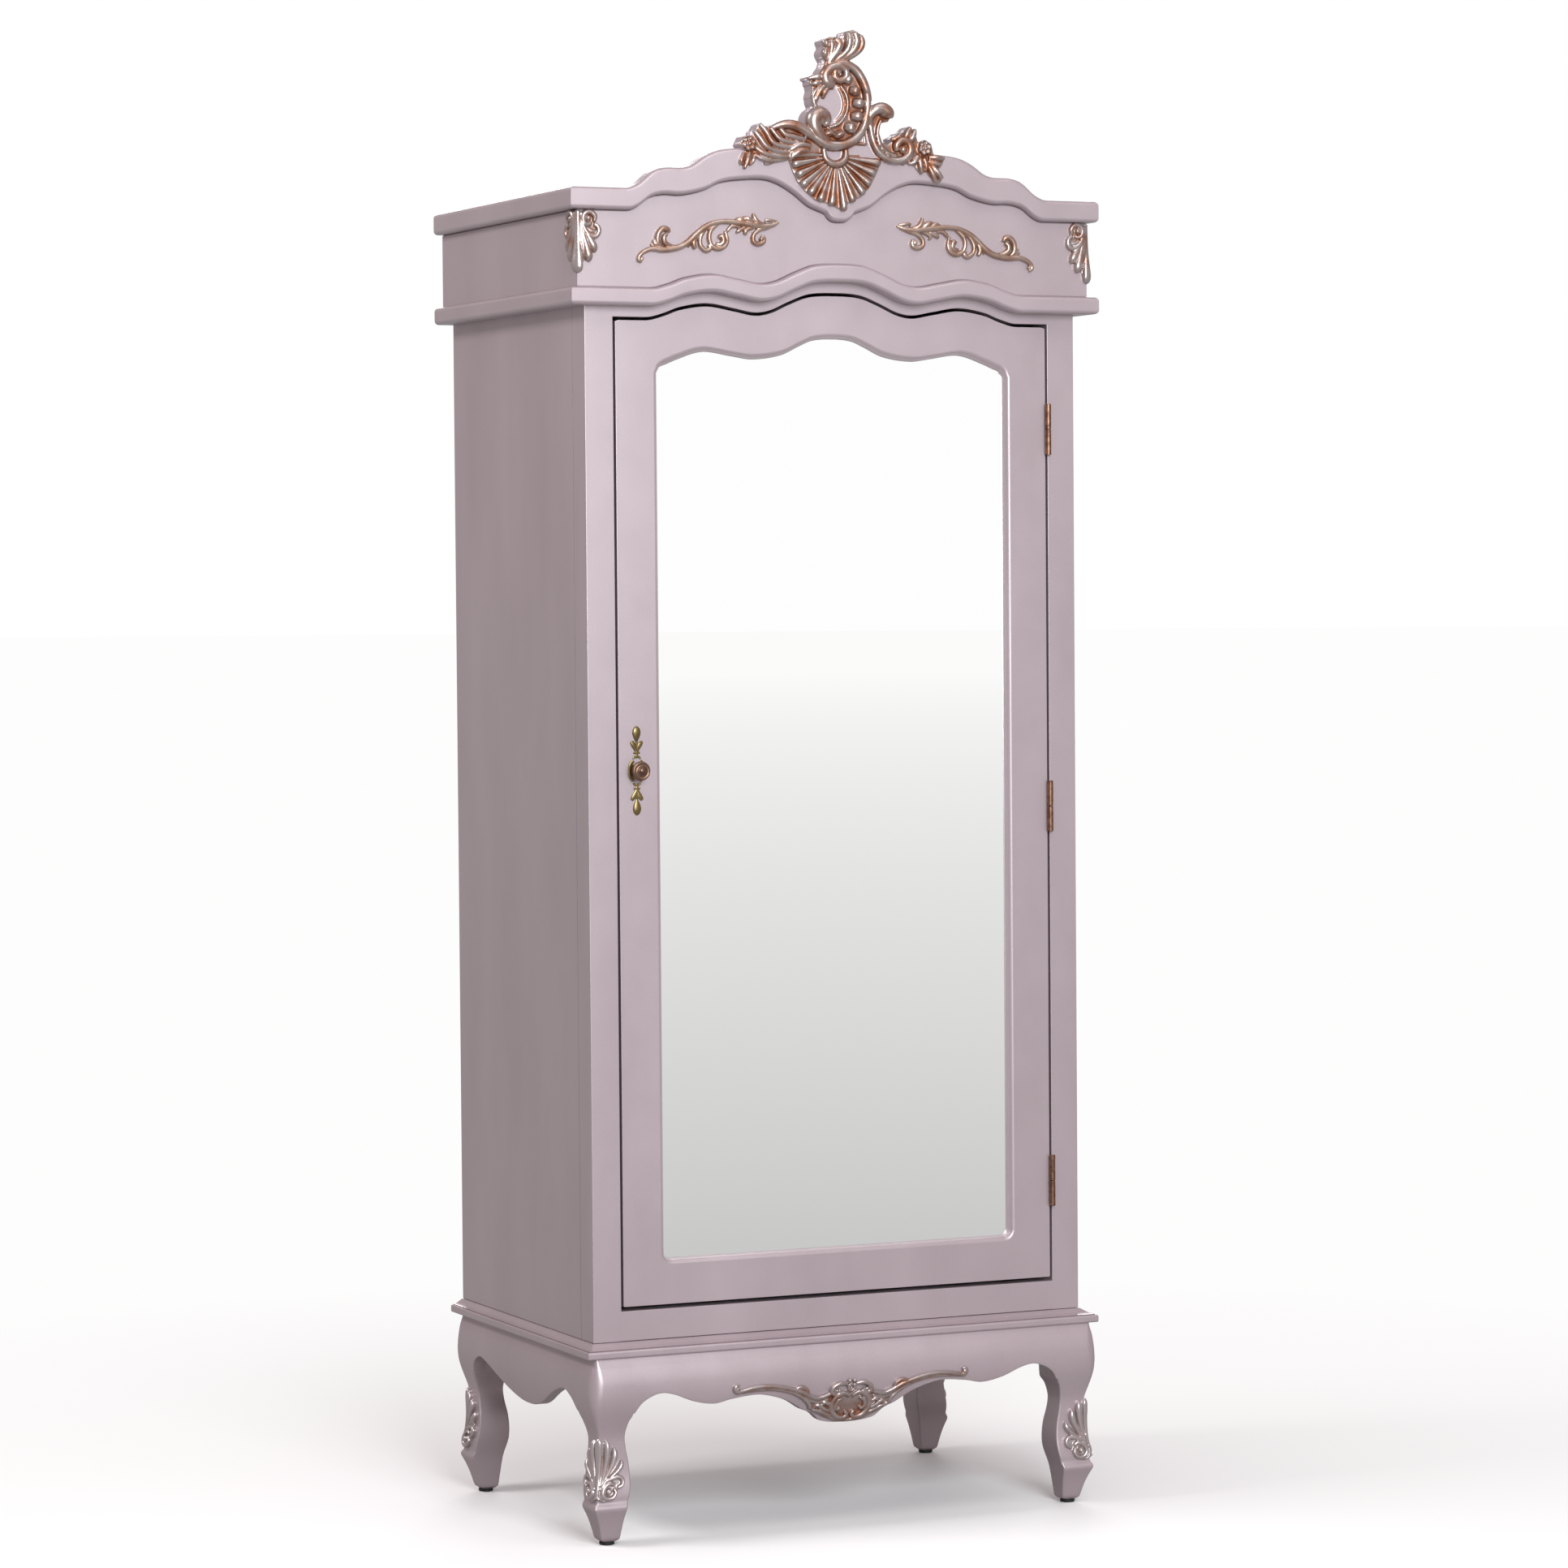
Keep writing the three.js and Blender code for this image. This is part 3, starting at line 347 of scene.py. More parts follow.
front_foot = FEET["front_right"]
rear_foot = FEET["rear_right"]
front_apron = apron(front_foot[0], FRONT_DROP, FRONT_CUTS)
bmesh.ops.translate(front_apron, verts=front_apron.verts, vec=(0, front_foot[1], 0))
lacquered("apron_front_shaped", front_apron, ["apron_front"])
side_middle = (front_foot[1] + rear_foot[1]) / 2
side_reach = (rear_foot[1] - front_foot[1]) / 2
SIDES = (("left", -1), ("right", 1))
for side, sign in SIDES:
    side_apron = apron(side_reach, SIDE_DROP, SIDE_CUTS)
    turn = Matrix.Rotation(sign * math.pi / 2, 4, "Z")
    side_apron.transform(Matrix.Translation((sign * front_foot[0], side_middle, 0)) @ turn)
    lacquered(f"apron_{side}_shaped", side_apron, [f"apron_{side}"])


def board(node, ease=0.8, along="xyz"):
    """A board that fills a CAD node's box, its edges along the named axes eased."""
    low, high = span(node)
    bm = bmesh.new()
    bmesh.ops.create_cube(bm, size=1)
    bmesh.ops.scale(bm, verts=bm.verts, vec=high - low)
    bmesh.ops.translate(bm, verts=bm.verts, vec=(low + high) / 2)
    eased = []
    for edge in bm.edges:
        run = edge.verts[1].co - edge.verts[0].co
        axis = "xyz"[max(range(3), key=lambda i: abs(run[i]))]
        if axis in along:
            eased.append(edge)
    bmesh.ops.bevel(bm, geom=eased, offset=ease, affect="EDGES", segments=2, profile=0.5, material=-1)
    return bm


lacquered("apron_rear_board", board("apron_rear", 1.2, "x"), ["apron_rear"])

# ---- Base moulding --------------------------------------------------------------------------------
# A spindle-moulded frame between the legs and the carcass: a rounded nose, a small quirk and an
# ogee that climbs to the carcass. Mitred at the front corners, glued and pinned.
carcass_low = span("side_panel_left")[0]
HALF = -carcass_low.x
FRONT_Y = span("post_left")[0].y
BACK_Y = span("side_panel_left")[1].y
base_low, base_high = span("base_moulding_front")
BASE_PROUD = (FRONT_Y - base_low.y, base_high.x - HALF)
BASE_DEPTH = 28
NOSE = 2.8
NOSE_TOP = 8.2
ogee = smooth_curve([(0, 19.6), (0.2, 17.6), (0.42, 14.6), (0.62, 12.9), (0.84, 12.2)])
BASE_SECTION = [(-1.5, 19.7), (-1.5, 0), (0.88, 0)]
QUARTER = [math.radians(angle) for angle in range(0, 91, 15)]
for a in QUARTER:
    BASE_SECTION.append((1 - (NOSE - NOSE * math.sin(a)) / BASE_DEPTH, NOSE - NOSE * math.cos(a)))
for a in QUARTER:
    BASE_SECTION.append((1 - (NOSE - NOSE * math.cos(a)) / BASE_DEPTH, NOSE_TOP + NOSE * math.sin(a)))
BASE_SECTION += [(0.80, 10.9)] + [(0.84 - 0.056 * k, ogee(0.84 - 0.056 * k)) for k in range(16)]


def mitred_front(section, proud, steps, level):
    """A run across the front whose ends are mitred; level(entry, x) gives the height."""

    def place(entry, t):
        share = entry[0]
        end = HALF + share * proud[1]
        x = -end if t == 0 else end if t == 1 else -HALF + 2 * HALF * t
        return x, FRONT_Y - share * proud[0], level(entry, x)

    return sweep(section, steps, place)


def mitred_side(sign, section, proud, level):
    """A run down one side, mitred at the front and square at the back."""

    def place(entry, t):
        share = entry[0]
        front = FRONT_Y - share * proud[0] + CLEAR
        return sign * (HALF + share * proud[1]), front + (BACK_Y - front) * t, level(entry, 0)

    return sweep(section, 1, place)


def base_level(entry, x):
    """The base moulding runs level all round."""
    return base_low.z + entry[1]


run = mitred_front(BASE_SECTION, BASE_PROUD, 1, base_level)
lacquered("base_moulding_front_run", run, ["base_moulding_front"])
for side, sign in SIDES:
    run = mitred_side(sign, BASE_SECTION, BASE_PROUD, base_level)
    lacquered(f"base_moulding_{side}_run", run, [f"base_moulding_{side}"])

# ---- Carcass --------------------------------------------------------------------------------------
# Posts, side panels and rails of board, biscuit-jointed and glued. A hairline shows where each side
# panel meets its post. The rails finish flush with the posts.
PANEL_EASE = 0.9
for side, sign in SIDES:
    for node in (f"post_{side}", f"side_panel_{side}"):
        lacquered(f"{node}_board", board(node, PANEL_EASE, "z"), [node])
# The rails lap the eased edges of the posts by a millimetre: the joints are filled and sprayed over.
LAP_OVER_POST = 1
bottom_rail = board("bottom_rail", 0.7, "x")
rail_reach = span("bottom_rail")[1].x
bmesh.ops.scale(bottom_rail, verts=bottom_rail.verts, vec=(1 + LAP_OVER_POST / rail_reach, 1, 1))
lacquered("bottom_rail_board", bottom_rail, ["bottom_rail"])

# Serpentine of the door opening: rise over its flat ends at distances from the middle.
serpentine = smooth_curve(
    [(0, 40), (41, 37.5), (72, 26.5), (102, 13.5), (127, 9.5), (160, 15), (203, 21.5), (246, 15.5),
     (272, 6.2), (300, 0)]
)  # fmt: skip
rail_low, rail_high = span("top_rail")
SPRING_Z = rail_low.z
RAIL_EASE = 0.8
RAIL_CUTS = 160
TOP_RAIL_SECTION = [
    (rail_high.y, "top", 0), (rail_high.y, "edge", 0), (rail_low.y + RAIL_EASE, "edge", 0),
    (rail_low.y + 0.25, "edge", 0.25), (rail_low.y, "edge", RAIL_EASE), (rail_low.y, "top", 0),
]  # fmt: skip


def top_rail_place(entry, t):
    """The top rail's lower edge is sawn to the serpentine."""
    y, from_, above = entry
    x = (rail_high.x + LAP_OVER_POST) * (2 * t - 1)
    z = rail_high.z if from_ == "top" else SPRING_Z + serpentine(abs(x)) + above
    return x, y, z


lacquered("top_rail_board", sweep(TOP_RAIL_SECTION, RAIL_CUTS, top_rail_place), ["top_rail"])

# ---- Inside ---------------------------------------------------------------------------------------
# Floor, ceiling, back, hat shelf and the crown's dust panel: MDF sprayed with one flat coat of the
# same colour, so it is duller and rougher than the outside. The back is pinned into a rebate.
MATT = {"Metallic": 0.25, "Roughness": 0.6, "Coat Weight": 0.0, "Coat Roughness": 0.5}
sprayed_mdf = lacquer("mdf_sprayed_flat", "#B0A4A7", "#A2969A", MATT, flake=0.04)
boards = (("hat_shelf", 1.2, "x"), ("back_panel", 0.5, "xz"), ("crown_top_panel", 0.6, "xy"))
for node, ease, along in boards:
    piece(f"{node}_board", board(node, ease, along), "carcass", sprayed_mdf, [node])


def refinish(node, finish):
    """Gives a CAD node that stays as it is its finish."""
    nodes[node].data.materials.clear()
    nodes[node].data.materials.append(finish)


for node in ("bottom_panel", "top_panel"):
    refinish(node, sprayed_mdf)

# ---- Hanging rail ---------------------------------------------------------------------------------
# A 25 mm nickel-plated steel tube in two pressed cups, each held by two screws.


def nickel_plated():
    """Nickel plate on drawn steel tube: bright, with faint lines along the draw."""
    made, tree, surface, place = material("nickel_plated_steel", {"Metallic": 1.0, "Roughness": 0.24})
    drawn = add(tree, "Mapping", {"Vector": place, "Scale": (0.02, 1, 1)})
    lines = add(tree, "TexNoise", {"Vector": drawn.outputs[0], "Scale": per_metre(1.5)})
    tint = add(
        tree, "Mix", {0: lines.outputs[0], 6: linear("#B9BCBE"), 7: linear("#D2D4D4")}, data_type="RGBA"
    )
    tree.links.new(tint.outputs[2], surface.inputs["Base Color"])
    dull = add(tree, "MapRange", {0: lines.outputs[0], 3: 0.18, 4: 0.32})
    tree.links.new(dull.outputs[0], surface.inputs["Roughness"])
    return made


nickel = nickel_plated()
low, high = span("hanging_rail")
tube_radius = (high.z - low.z) / 2
tube_centre = ((low.y + high.y) / 2, (low.z + high.z) / 2)


def rod(radius, bottom, top, chamfer):
    """Profile of a plain round rod with chamfered ends."""
    return [
        (0, bottom), (radius - chamfer, bottom), (radius, bottom + chamfer),
        (radius, top - chamfer), (radius - chamfer, top), (0, top),
    ]  # fmt: skip


tube = turned(rod(tube_radius, low.x, high.x, 0.8), (0, *tube_centre), "X")
piece("hanging_rail_tube", tube, "carcass", nickel, ["hanging_rail"])
for side, sign in SIDES:
    refinish(f"rail_socket_{side}", nickel)

# ---- Crown mouldings ------------------------------------------------------------------------------
# Architrave, frieze and cornice run round the front and both sides, mitred at the corners. In front
# they follow the serpentine, and the cornice rises into a pediment board. Edges rounded to 6 mm.
CROWN_EDGE = 6
FRIEZE_EDGE = 2.4
CROWN_CUTS = 180
ARCHITRAVE_Z = span("architrave_left")[0].z
FRIEZE_Z = span("architrave_left")[1].z
CORNICE_Z = span("cornice_left")[0].z
CORNICE_TOP = span("cornice_left")[1].z
CROWN_PROUD = (FRONT_Y - span("architrave_front")[0].y, span("architrave_right")[1].x - HALF)
FRIEZE_PROUD = (FRONT_Y - span("frieze_front")[0].y, span("frieze_right")[1].x - HALF)
pediment_top = smooth_curve(
    [(0, 65), (120, 64), (174, 61), (197, 57), (215, 49), (235, 36), (250, 31.5), (279, 30.5),
     (297, 25), (320, 7), (341, 0)]
)  # fmt: skip
pediment_bottom = smooth_curve(
    [(0, -9), (10, -8), (17, -4), (21, 2), (26, 4.5), (36, 8), (50, 14), (73, 31), (97, 44),
     (121, 50), (162, 48), (191, 43), (215, 32), (250, 24), (279, 24), (300, 19), (320, 5), (335, 0)]
)  # fmt: skip


def crown_section(proud, edge):
    """Entries are (share of the projection, which edge, millimetres inwards from that edge)."""
    back = CLEAR / proud
    section = [(back, 1, 0), (back, 0, 0)]
    for angle in QUARTER:
        section.append((1 - edge * (1 - math.sin(angle)) / proud, 0, edge * (1 - math.cos(angle))))
    for angle in QUARTER:
        section.append((1 - edge * (1 - math.cos(angle)) / proud, 1, edge * (1 - math.sin(angle))))
    return section


for name, edge, proud, lower, upper, low_z, high_z in (
    ("architrave", CROWN_EDGE, CROWN_PROUD, serpentine, serpentine, ARCHITRAVE_Z, FRIEZE_Z),
    ("frieze", FRIEZE_EDGE, FRIEZE_PROUD, serpentine, pediment_bottom, FRIEZE_Z, CORNICE_Z),
    ("cornice", CROWN_EDGE, CROWN_PROUD, pediment_bottom, pediment_top, CORNICE_Z, CORNICE_TOP),
):
    section = crown_section(proud[0], edge)

    def front_level(entry, x):
        if entry[1]:
            return high_z + upper(abs(x)) - entry[2]
        return low_z + lower(abs(x)) + entry[2]

    def side_level(entry, x):
        return high_z - entry[2] if entry[1] else low_z + entry[2]

    front_node = "pediment_board" if name == "cornice" else f"{name}_front"
    run = mitred_front(section, proud, CROWN_CUTS, front_level)
    lacquered(f"{name}_front_run", run, [front_node])
    for side, sign in SIDES:
        run = mitred_side(sign, section, proud, side_level)
        lacquered(f"{name}_{side}_run", run, [f"{name}_{side}"])

# ---- Door frame -----------------------------------------------------------------------------------
# Stiles and rails glued up, then routed in one pass: a rounded bead falls from the face to the
# glass, and the back is rebated for the mirror and its backing board.
door_low, door_high = span("door_stile_left")
DOOR_HALF = -door_low.x
DOOR_BOTTOM = door_low.z
DOOR_GAP = 3
DOOR_SPRING = SPRING_Z - DOOR_GAP
SIGHT_HALF = -door_high.x
SIGHT_BOTTOM = span("door_bottom_rail")[1].z
TOP_RAIL_WIDTH = 67.5
SIGHT_SPRING = DOOR_SPRING - TOP_RAIL_WIDTH
GLASS_Y = span("mirror_glass")[0].y
DOOR_BACK = door_high.y
mirror_head = smooth_curve(
    [(0, 43.5), (31, 41), (51, 33), (82, 19), (127, 12.5), (160, 16.5), (200, 22.5), (220, 20),
     (246, 11), (280, 0)]
)  # fmt: skip
HEAD_DRAWN_TO = 280
CORNER = 8
HEAD_STEPS = 120
SIDE_STEPS = 6


def loop(half, bottom, head, radius):
    """Points once round an opening with two round lower corners and a shaped head."""
    points = []
    for k in range(HEAD_STEPS + 1):
        x = half - 2 * half * k / HEAD_STEPS
        # The shoulders of the head turn down into the sides with the same small radius.
        shoulder = max(0, radius - (half - abs(x)))
        drop = radius - math.sqrt(max(0, radius**2 - shoulder**2))
        points.append((x, head(x) - drop))
    top = head(half) - radius
    low_side = bottom + radius
    for k in range(1, SIDE_STEPS):
        points.append((-half, top + (low_side - top) * k / SIDE_STEPS))
    turns = [(math.sin(a), math.cos(a)) for a in (math.pi / 2 * k / CORNER for k in range(CORNER + 1))]
    points += [(-half + radius - radius * cos, low_side - radius * sin) for sin, cos in turns]
    points += [(half - radius + radius * sin, low_side - radius * cos) for sin, cos in turns]
    for k in range(1, SIDE_STEPS):
        points.append((half, low_side + (top - low_side) * k / SIDE_STEPS))
    return points


def sight_loop(offset, radius):
    """The edge of the mirror's opening, or a line that far outside it."""
    half = SIGHT_HALF + offset

    def head(x):
        return SIGHT_SPRING + mirror_head(abs(x) * HEAD_DRAWN_TO / half) + offset

    return loop(half, SIGHT_BOTTOM - offset, head, radius)


def outer_loop(inset):
    """The lacquered edge of the door, planed half a millimetre shy and a little more at the head."""

    def head(x):
        return DOOR_SPRING - HEAD_SHY + serpentine(abs(x)) - inset

    return loop(DOOR_HALF - EDGE_SHY - inset, DOOR_BOTTOM + EDGE_SHY + inset, head, DOOR_CORNER)


EDGE_SHY = 0.5
HEAD_SHY = 1.5
DOOR_CORNER = 2
BEAD_WIDTH = 8.5
BEAD_DROP = GLASS_Y - FRONT_Y - 0.4
REBATE = 8.4
REBATE_FLOOR = GLASS_Y - 0.15
bead = []
for a in (math.radians(angle) for angle in range(0, 91, 10)):
    bead.append((BEAD_WIDTH * (1 - math.cos(a)), BEAD_DROP * (1 - math.sin(a))))
door_rings = [(sight_loop(0, 9.5), REBATE_FLOOR)]
door_rings += [
    (sight_loop(0.6 + out * 0.93, 10 + 0.9 * out), FRONT_Y + drop) for out, drop in bead
]
door_rings += [
    (outer_loop(0.8), FRONT_Y), (outer_loop(0.25), FRONT_Y + 0.25), (outer_loop(0), FRONT_Y + 0.8),
    (outer_loop(0), DOOR_BACK - 0.8), (outer_loop(0.8), DOOR_BACK),
    (sight_loop(REBATE, 3), DOOR_BACK), (sight_loop(REBATE, 3), REBATE_FLOOR),
]  # fmt: skip
ring_size = len(door_rings[0][0])
frame_bm = bmesh.new()
bmesh.ops.create_grid(frame_bm, x_segments=len(door_rings), y_segments=ring_size, size=0.5)
for vert in frame_bm.verts:
    points, y = door_rings[round((vert.co.x + 0.5) * len(door_rings)) % len(door_rings)]
    x, z = points[round((vert.co.y + 0.5) * ring_size) % ring_size]
    vert.co = x, y, z
bmesh.ops.remove_doubles(frame_bm, verts=frame_bm.verts, dist=0.0005)
frame_nodes = ["door_stile_left", "door_stile_right", "door_bottom_rail", "door_top_rail"]
lacquered("door_frame", frame_bm, frame_nodes, "door")

# ---- Mirror ---------------------------------------------------------------------------------------
# A 4 mm silvered float glass, cut to the shape of the head, and a hardboard backing pinned behind
# it.


def silvered_glass():
    """Float glass silvered on the back: a clean sharp reflection with the least green of the glass."""
    made, tree, surface, place = material("glass_silvered", {"Metallic": 1.0, "Roughness": 0.0})
    cast = add(tree, "TexNoise", {"Vector": place, "Scale": per_metre(600)})
    tint = add(
        tree, "Mix", {0: cast.outputs[0], 6: linear("#FCFDFC"), 7: linear("#FEFEFE")}, data_type="RGBA"
    )
    tree.links.new(tint.outputs[2], surface.inputs["Base Color"])
    return made


def hardboard():
    """Tempered hardboard: pressed wood fibre, brown, matt, flecked with darker fibres."""
    made, tree, surface, place = material("hardboard_tempered", {"Roughness": 0.75})
    fibre = add(tree, "TexNoise", {"Vector": place, "Scale": per_metre(3), "Detail": 5})
    tint = add(
        tree, "Mix", {0: fibre.outputs[0], 6: linear("#6B4F38"), 7: linear("#9A7654")}, data_type="RGBA"
    )
    tree.links.new(tint.outputs[2], surface.inputs["Base Color"])
    bump = add(tree, "Bump", {"Height": fibre.outputs[0], "Strength": 0.4, "Distance": 0.0003})
    tree.links.new(bump.outputs[0], surface.inputs["Normal"])
    return made


refinish("mirror_glass", silvered_glass())
refinish("mirror_backing", hardboard())

# ---- Hinges ---------------------------------------------------------------------------------------
# Three brass lift-off hinges on the right. Each leaf is rolled round the pin as one knuckle, the
# frame's below and the door's above. Bronzed by dipping, then waxed.


def bronzed(name, light, brown, shader):
    """Brass dipped to a brown bronze: rubbed lighter in patches, with fine drawn lines."""
    made, tree, surface, place = material(name, shader)
    rubbed = add(tree, "TexNoise", {"Vector": place, "Scale": per_metre(7), "Detail": 4})
    share = add(tree, "MapRange", {0: rubbed.outputs[0], 1: 0.35, 2: 0.65})
    tint = add(tree, "Mix", {0: share.outputs[0], 6: linear(brown), 7: linear(light)}, data_type="RGBA")
    tree.links.new(tint.outputs[2], surface.inputs["Base Color"])
    rough = shader["Roughness"]
    dull = add(tree, "MapRange", {0: rubbed.outputs[0], 1: 0.3, 2: 0.7, 3: rough + 0.1, 4: rough})
    tree.links.new(dull.outputs[0], surface.inputs["Roughness"])
    grain = add(tree, "TexNoise", {"Vector": place, "Scale": per_metre(0.9), "Detail": 2})
    bump = add(tree, "Bump", {"Height": grain.outputs[0], "Strength": 0.3, "Distance": 0.0001})
    tree.links.new(bump.outputs[0], surface.inputs["Normal"])
    return made


bronze = bronzed("brass_bronzed", "#94705C", "#664638", {"Metallic": 0.9, "Roughness": 0.34})
HINGE_X = 349.5
HINGE_Y = FRONT_Y - 5
KNUCKLE = 4.5
LEAF_THICKNESS = 1.1
for level in ("lower", "middle", "upper"):
    spans = [span(f"hinge_{part}_leaf_{level}") for part in ("frame", "door")]
    hinge_bottom = min(low.z for low, high in spans)
    hinge_top = max(high.z for low, high in spans)
    middle = (hinge_bottom + hinge_top) / 2
    for part, hand, body, bottom, top in (
        ("frame", 1, "carcass", hinge_bottom, middle - CLEAR),
        ("door", -1, "door", middle + CLEAR, hinge_top),
    ):
        hinge = turned(rod(KNUCKLE, bottom, top, 0.5), (HINGE_X, HINGE_Y, 0))
        leaf_back = span(f"hinge_{part}_leaf_{level}")[1].y
        for y0, y1, z0, z1 in (
            (HINGE_Y + KNUCKLE + 0.4, leaf_back, hinge_bottom, hinge_top),
            (HINGE_Y, HINGE_Y + KNUCKLE + 0.5, bottom, top),
        ):
            leaf = bmesh.ops.create_cube(hinge, size=1)["verts"]
            bmesh.ops.scale(hinge, verts=leaf, vec=(LEAF_THICKNESS, y1 - y0, z1 - z0))
            middle_of_leaf = (HINGE_X + hand * 0.65, (y0 + y1) / 2, (z0 + z1) / 2)
            bmesh.ops.translate(hinge, verts=leaf, vec=middle_of_leaf)
        piece(f"hinge_{part}_{level}", hinge, body, bronze, [f"hinge_{part}_leaf_{level}"])

# ---- Knob -----------------------------------------------------------------------------------------
# A turned mushroom knob with a rolled rim, a shallow dish and a button in the middle, bronzed brown.
low, high = span("knob")
knob_profile = [
    (0, 0), (6.5, 0), (6.5, 1), (5, 3), (4.3, 6), (4.5, 8), (6.4, 9.6), (10, 10.6), (12.8, 12),
    (14, 14), (13.8, 15.6), (12.8, 16.8), (11.6, 17.1), (10.6, 16.5), (8.6, 16.4), (6.4, 17.2),
    (5.4, 18.2), (4.9, 18.3), (4.4, 19.7), (3.4, 20.6), (1.6, 21), (0, 21),
]  # fmt: skip
knob_centre = ((low.x + high.x) / 2, high.y, (low.z + high.z) / 2)
KNOB_SHADER = {"Metallic": 0.85, "Roughness": 0.3}
dark_bronze = bronzed("brass_bronzed_dark", "#7E6152", "#5E463A", KNOB_SHADER)
piece("knob_turned", turned(knob_profile, knob_centre, "-Y"), "door", dark_bronze,
      ["knob"])  # fmt: skip

# ---- Catch ----------------------------------------------------------------------------------------
# A magnetic catch inside the left post: a black nylon body, and a nickel-plated strike on the door.
piece("catch_body_moulded", board("catch_body", 1.2), "carcass", black_nylon,
      ["catch_body"])  # fmt: skip
piece("catch_strike_plate", board("catch_strike", 0.4), "door", nickel, ["catch_strike"])

# ---- Leg carvings ---------------------------------------------------------------------------------
# A half-shell with a scrolled ear is glued round the front corner of each ankle: cast resin, silvered
# like the legs, with a little antique gold left in its grooves.
BACK_OF_RELIEF = 1.5
ROUNDNESS = 0.85
STEPS_PER_POINT = 6
ARC = [math.radians(angle) for angle in range(-90, 91, 20)]
RIDGE_SECTION = [None, *ARC, None]


def path_through(points):
    """Points once more with smooth Catmull-Rom steps between them, as an array."""
    given = np.array([points[0], *points, points[-1]], float)
    steps = np.linspace(0, 1, STEPS_PER_POINT, endpoint=False)[:, None]
    parts = []
    for a, b, c, d in zip(given, given[1:], given[2:], given[3:]):
        parts.append(
            0.5 * (2 * b + (c - a) * steps + (2 * a - 5 * b + 4 * c - d) * steps**2
                   + (3 * b - a - 3 * c + d) * steps**3)
        )  # fmt: skip
    return np.vstack([*parts, given[-1:]])


def ridge(points, swell=1.0):
    """One ridge of a carving, seen from -Y: points are (x, z, half width, height of its shoulder)."""
    path = path_through(points)
    path[:, 2] *= swell
    run = np.gradient(path[:, :2], axis=0)
    run /= np.linalg.norm(run, axis=1)[:, None] + 1e-9
    last = len(path) - 1

    def place(entry, t):
        x, z, half, shoulder = path[round(t * last)]
        along_x, along_z = run[round(t * last)]
        index, angle = entry
        if angle is None:
            across, y = (-half if index == 0 else half), BACK_OF_RELIEF
        else:
            across, y = half * math.sin(angle), -shoulder - ROUNDNESS * half * math.cos(angle)
        return x + along_z * across, y, z - along_x * across

    return sweep(list(enumerate(RIDGE_SECTION)), last, place)


def button(x, z, radius, shoulder):
    """A round bead of a carving."""
    bm = bmesh.new()
    bmesh.ops.create_uvsphere(bm, u_segments=16, v_segments=10, radius=radius)
    bmesh.ops.translate(bm, verts=bm.verts, vec=(x, -shoulder, z))
    return bm


def plate(outline, thickness):
    """A flat ground between the ridges of a carving."""
    bm = bmesh.new()
    face = bm.faces.new([bm.verts.new((x, BACK_OF_RELIEF, z)) for x, z in outline])
    top = bmesh.ops.extrude_face_region(bm, geom=[face])["geom"]
    moved = [item for item in top if isinstance(item, bmesh.types.BMVert)]
    bmesh.ops.translate(bm, verts=moved, vec=(0, -BACK_OF_RELIEF - thickness, 0))
    return bm


def joined(parts, mirrored=False):
    """Several bmeshes as one mesh; mirrored adds their reflection in x = 0."""
    bm = bmesh.new()
    for part in parts:
        bmesh.ops.recalc_face_normals(part, faces=part.faces)
        mesh = bpy.data.meshes.new("part")
        part.to_mesh(mesh)
        part.free()
        bm.from_mesh(mesh)
        bpy.data.meshes.remove(mesh)
    if mirrored:
        copied = bmesh.ops.duplicate(bm, geom=bm.verts[:] + bm.edges[:] + bm.faces[:])["geom"]
        verts = [item for item in copied if isinstance(item, bmesh.types.BMVert)]
        bmesh.ops.scale(bm, verts=verts, vec=(-1, 1, 1))
        faces = [item for item in copied if isinstance(item, bmesh.types.BMFace)]
        bmesh.ops.reverse_faces(bm, faces=faces)
    return bm


def cast(bm, grain, softening=3, flat_back=True):
    """Melts overlapping ridges into one skin with soft joins, and cuts the back flat at y = 0."""
    mesh = bpy.data.meshes.new("cast")
    bm.to_mesh(mesh)
    bm.free()
    lump = bpy.data.objects.new("cast", mesh)
    bpy.context.scene.collection.objects.link(lump)
    skin = lump.modifiers.new("skin", "REMESH")
    skin.mode = "VOXEL"
    skin.voxel_size = grain
    evaluated = lump.evaluated_get(bpy.context.evaluated_depsgraph_get())
    melted = bmesh.new()
    melted.from_mesh(evaluated.to_mesh())
    bpy.data.objects.remove(lump)
    bpy.data.meshes.remove(mesh)
    for _ in range(softening):
        bmesh.ops.smooth_vert(
            melted, verts=melted.verts, factor=0.5, use_axis_x=True, use_axis_y=True,
            use_axis_z=True,
        )  # fmt: skip
    if flat_back:
        everything = melted.verts[:] + melted.edges[:] + melted.faces[:]
        bmesh.ops.bisect_plane(
            melted, geom=everything, dist=1e-4, plane_co=(0, 0, 0), plane_no=(0, 1, 0),
            clear_outer=True,
        )  # fmt: skip
        rim = [edge for edge in melted.edges if edge.is_boundary]
        bmesh.ops.triangle_fill(melted, edges=rim, normal=(0, 1, 0))
    return melted


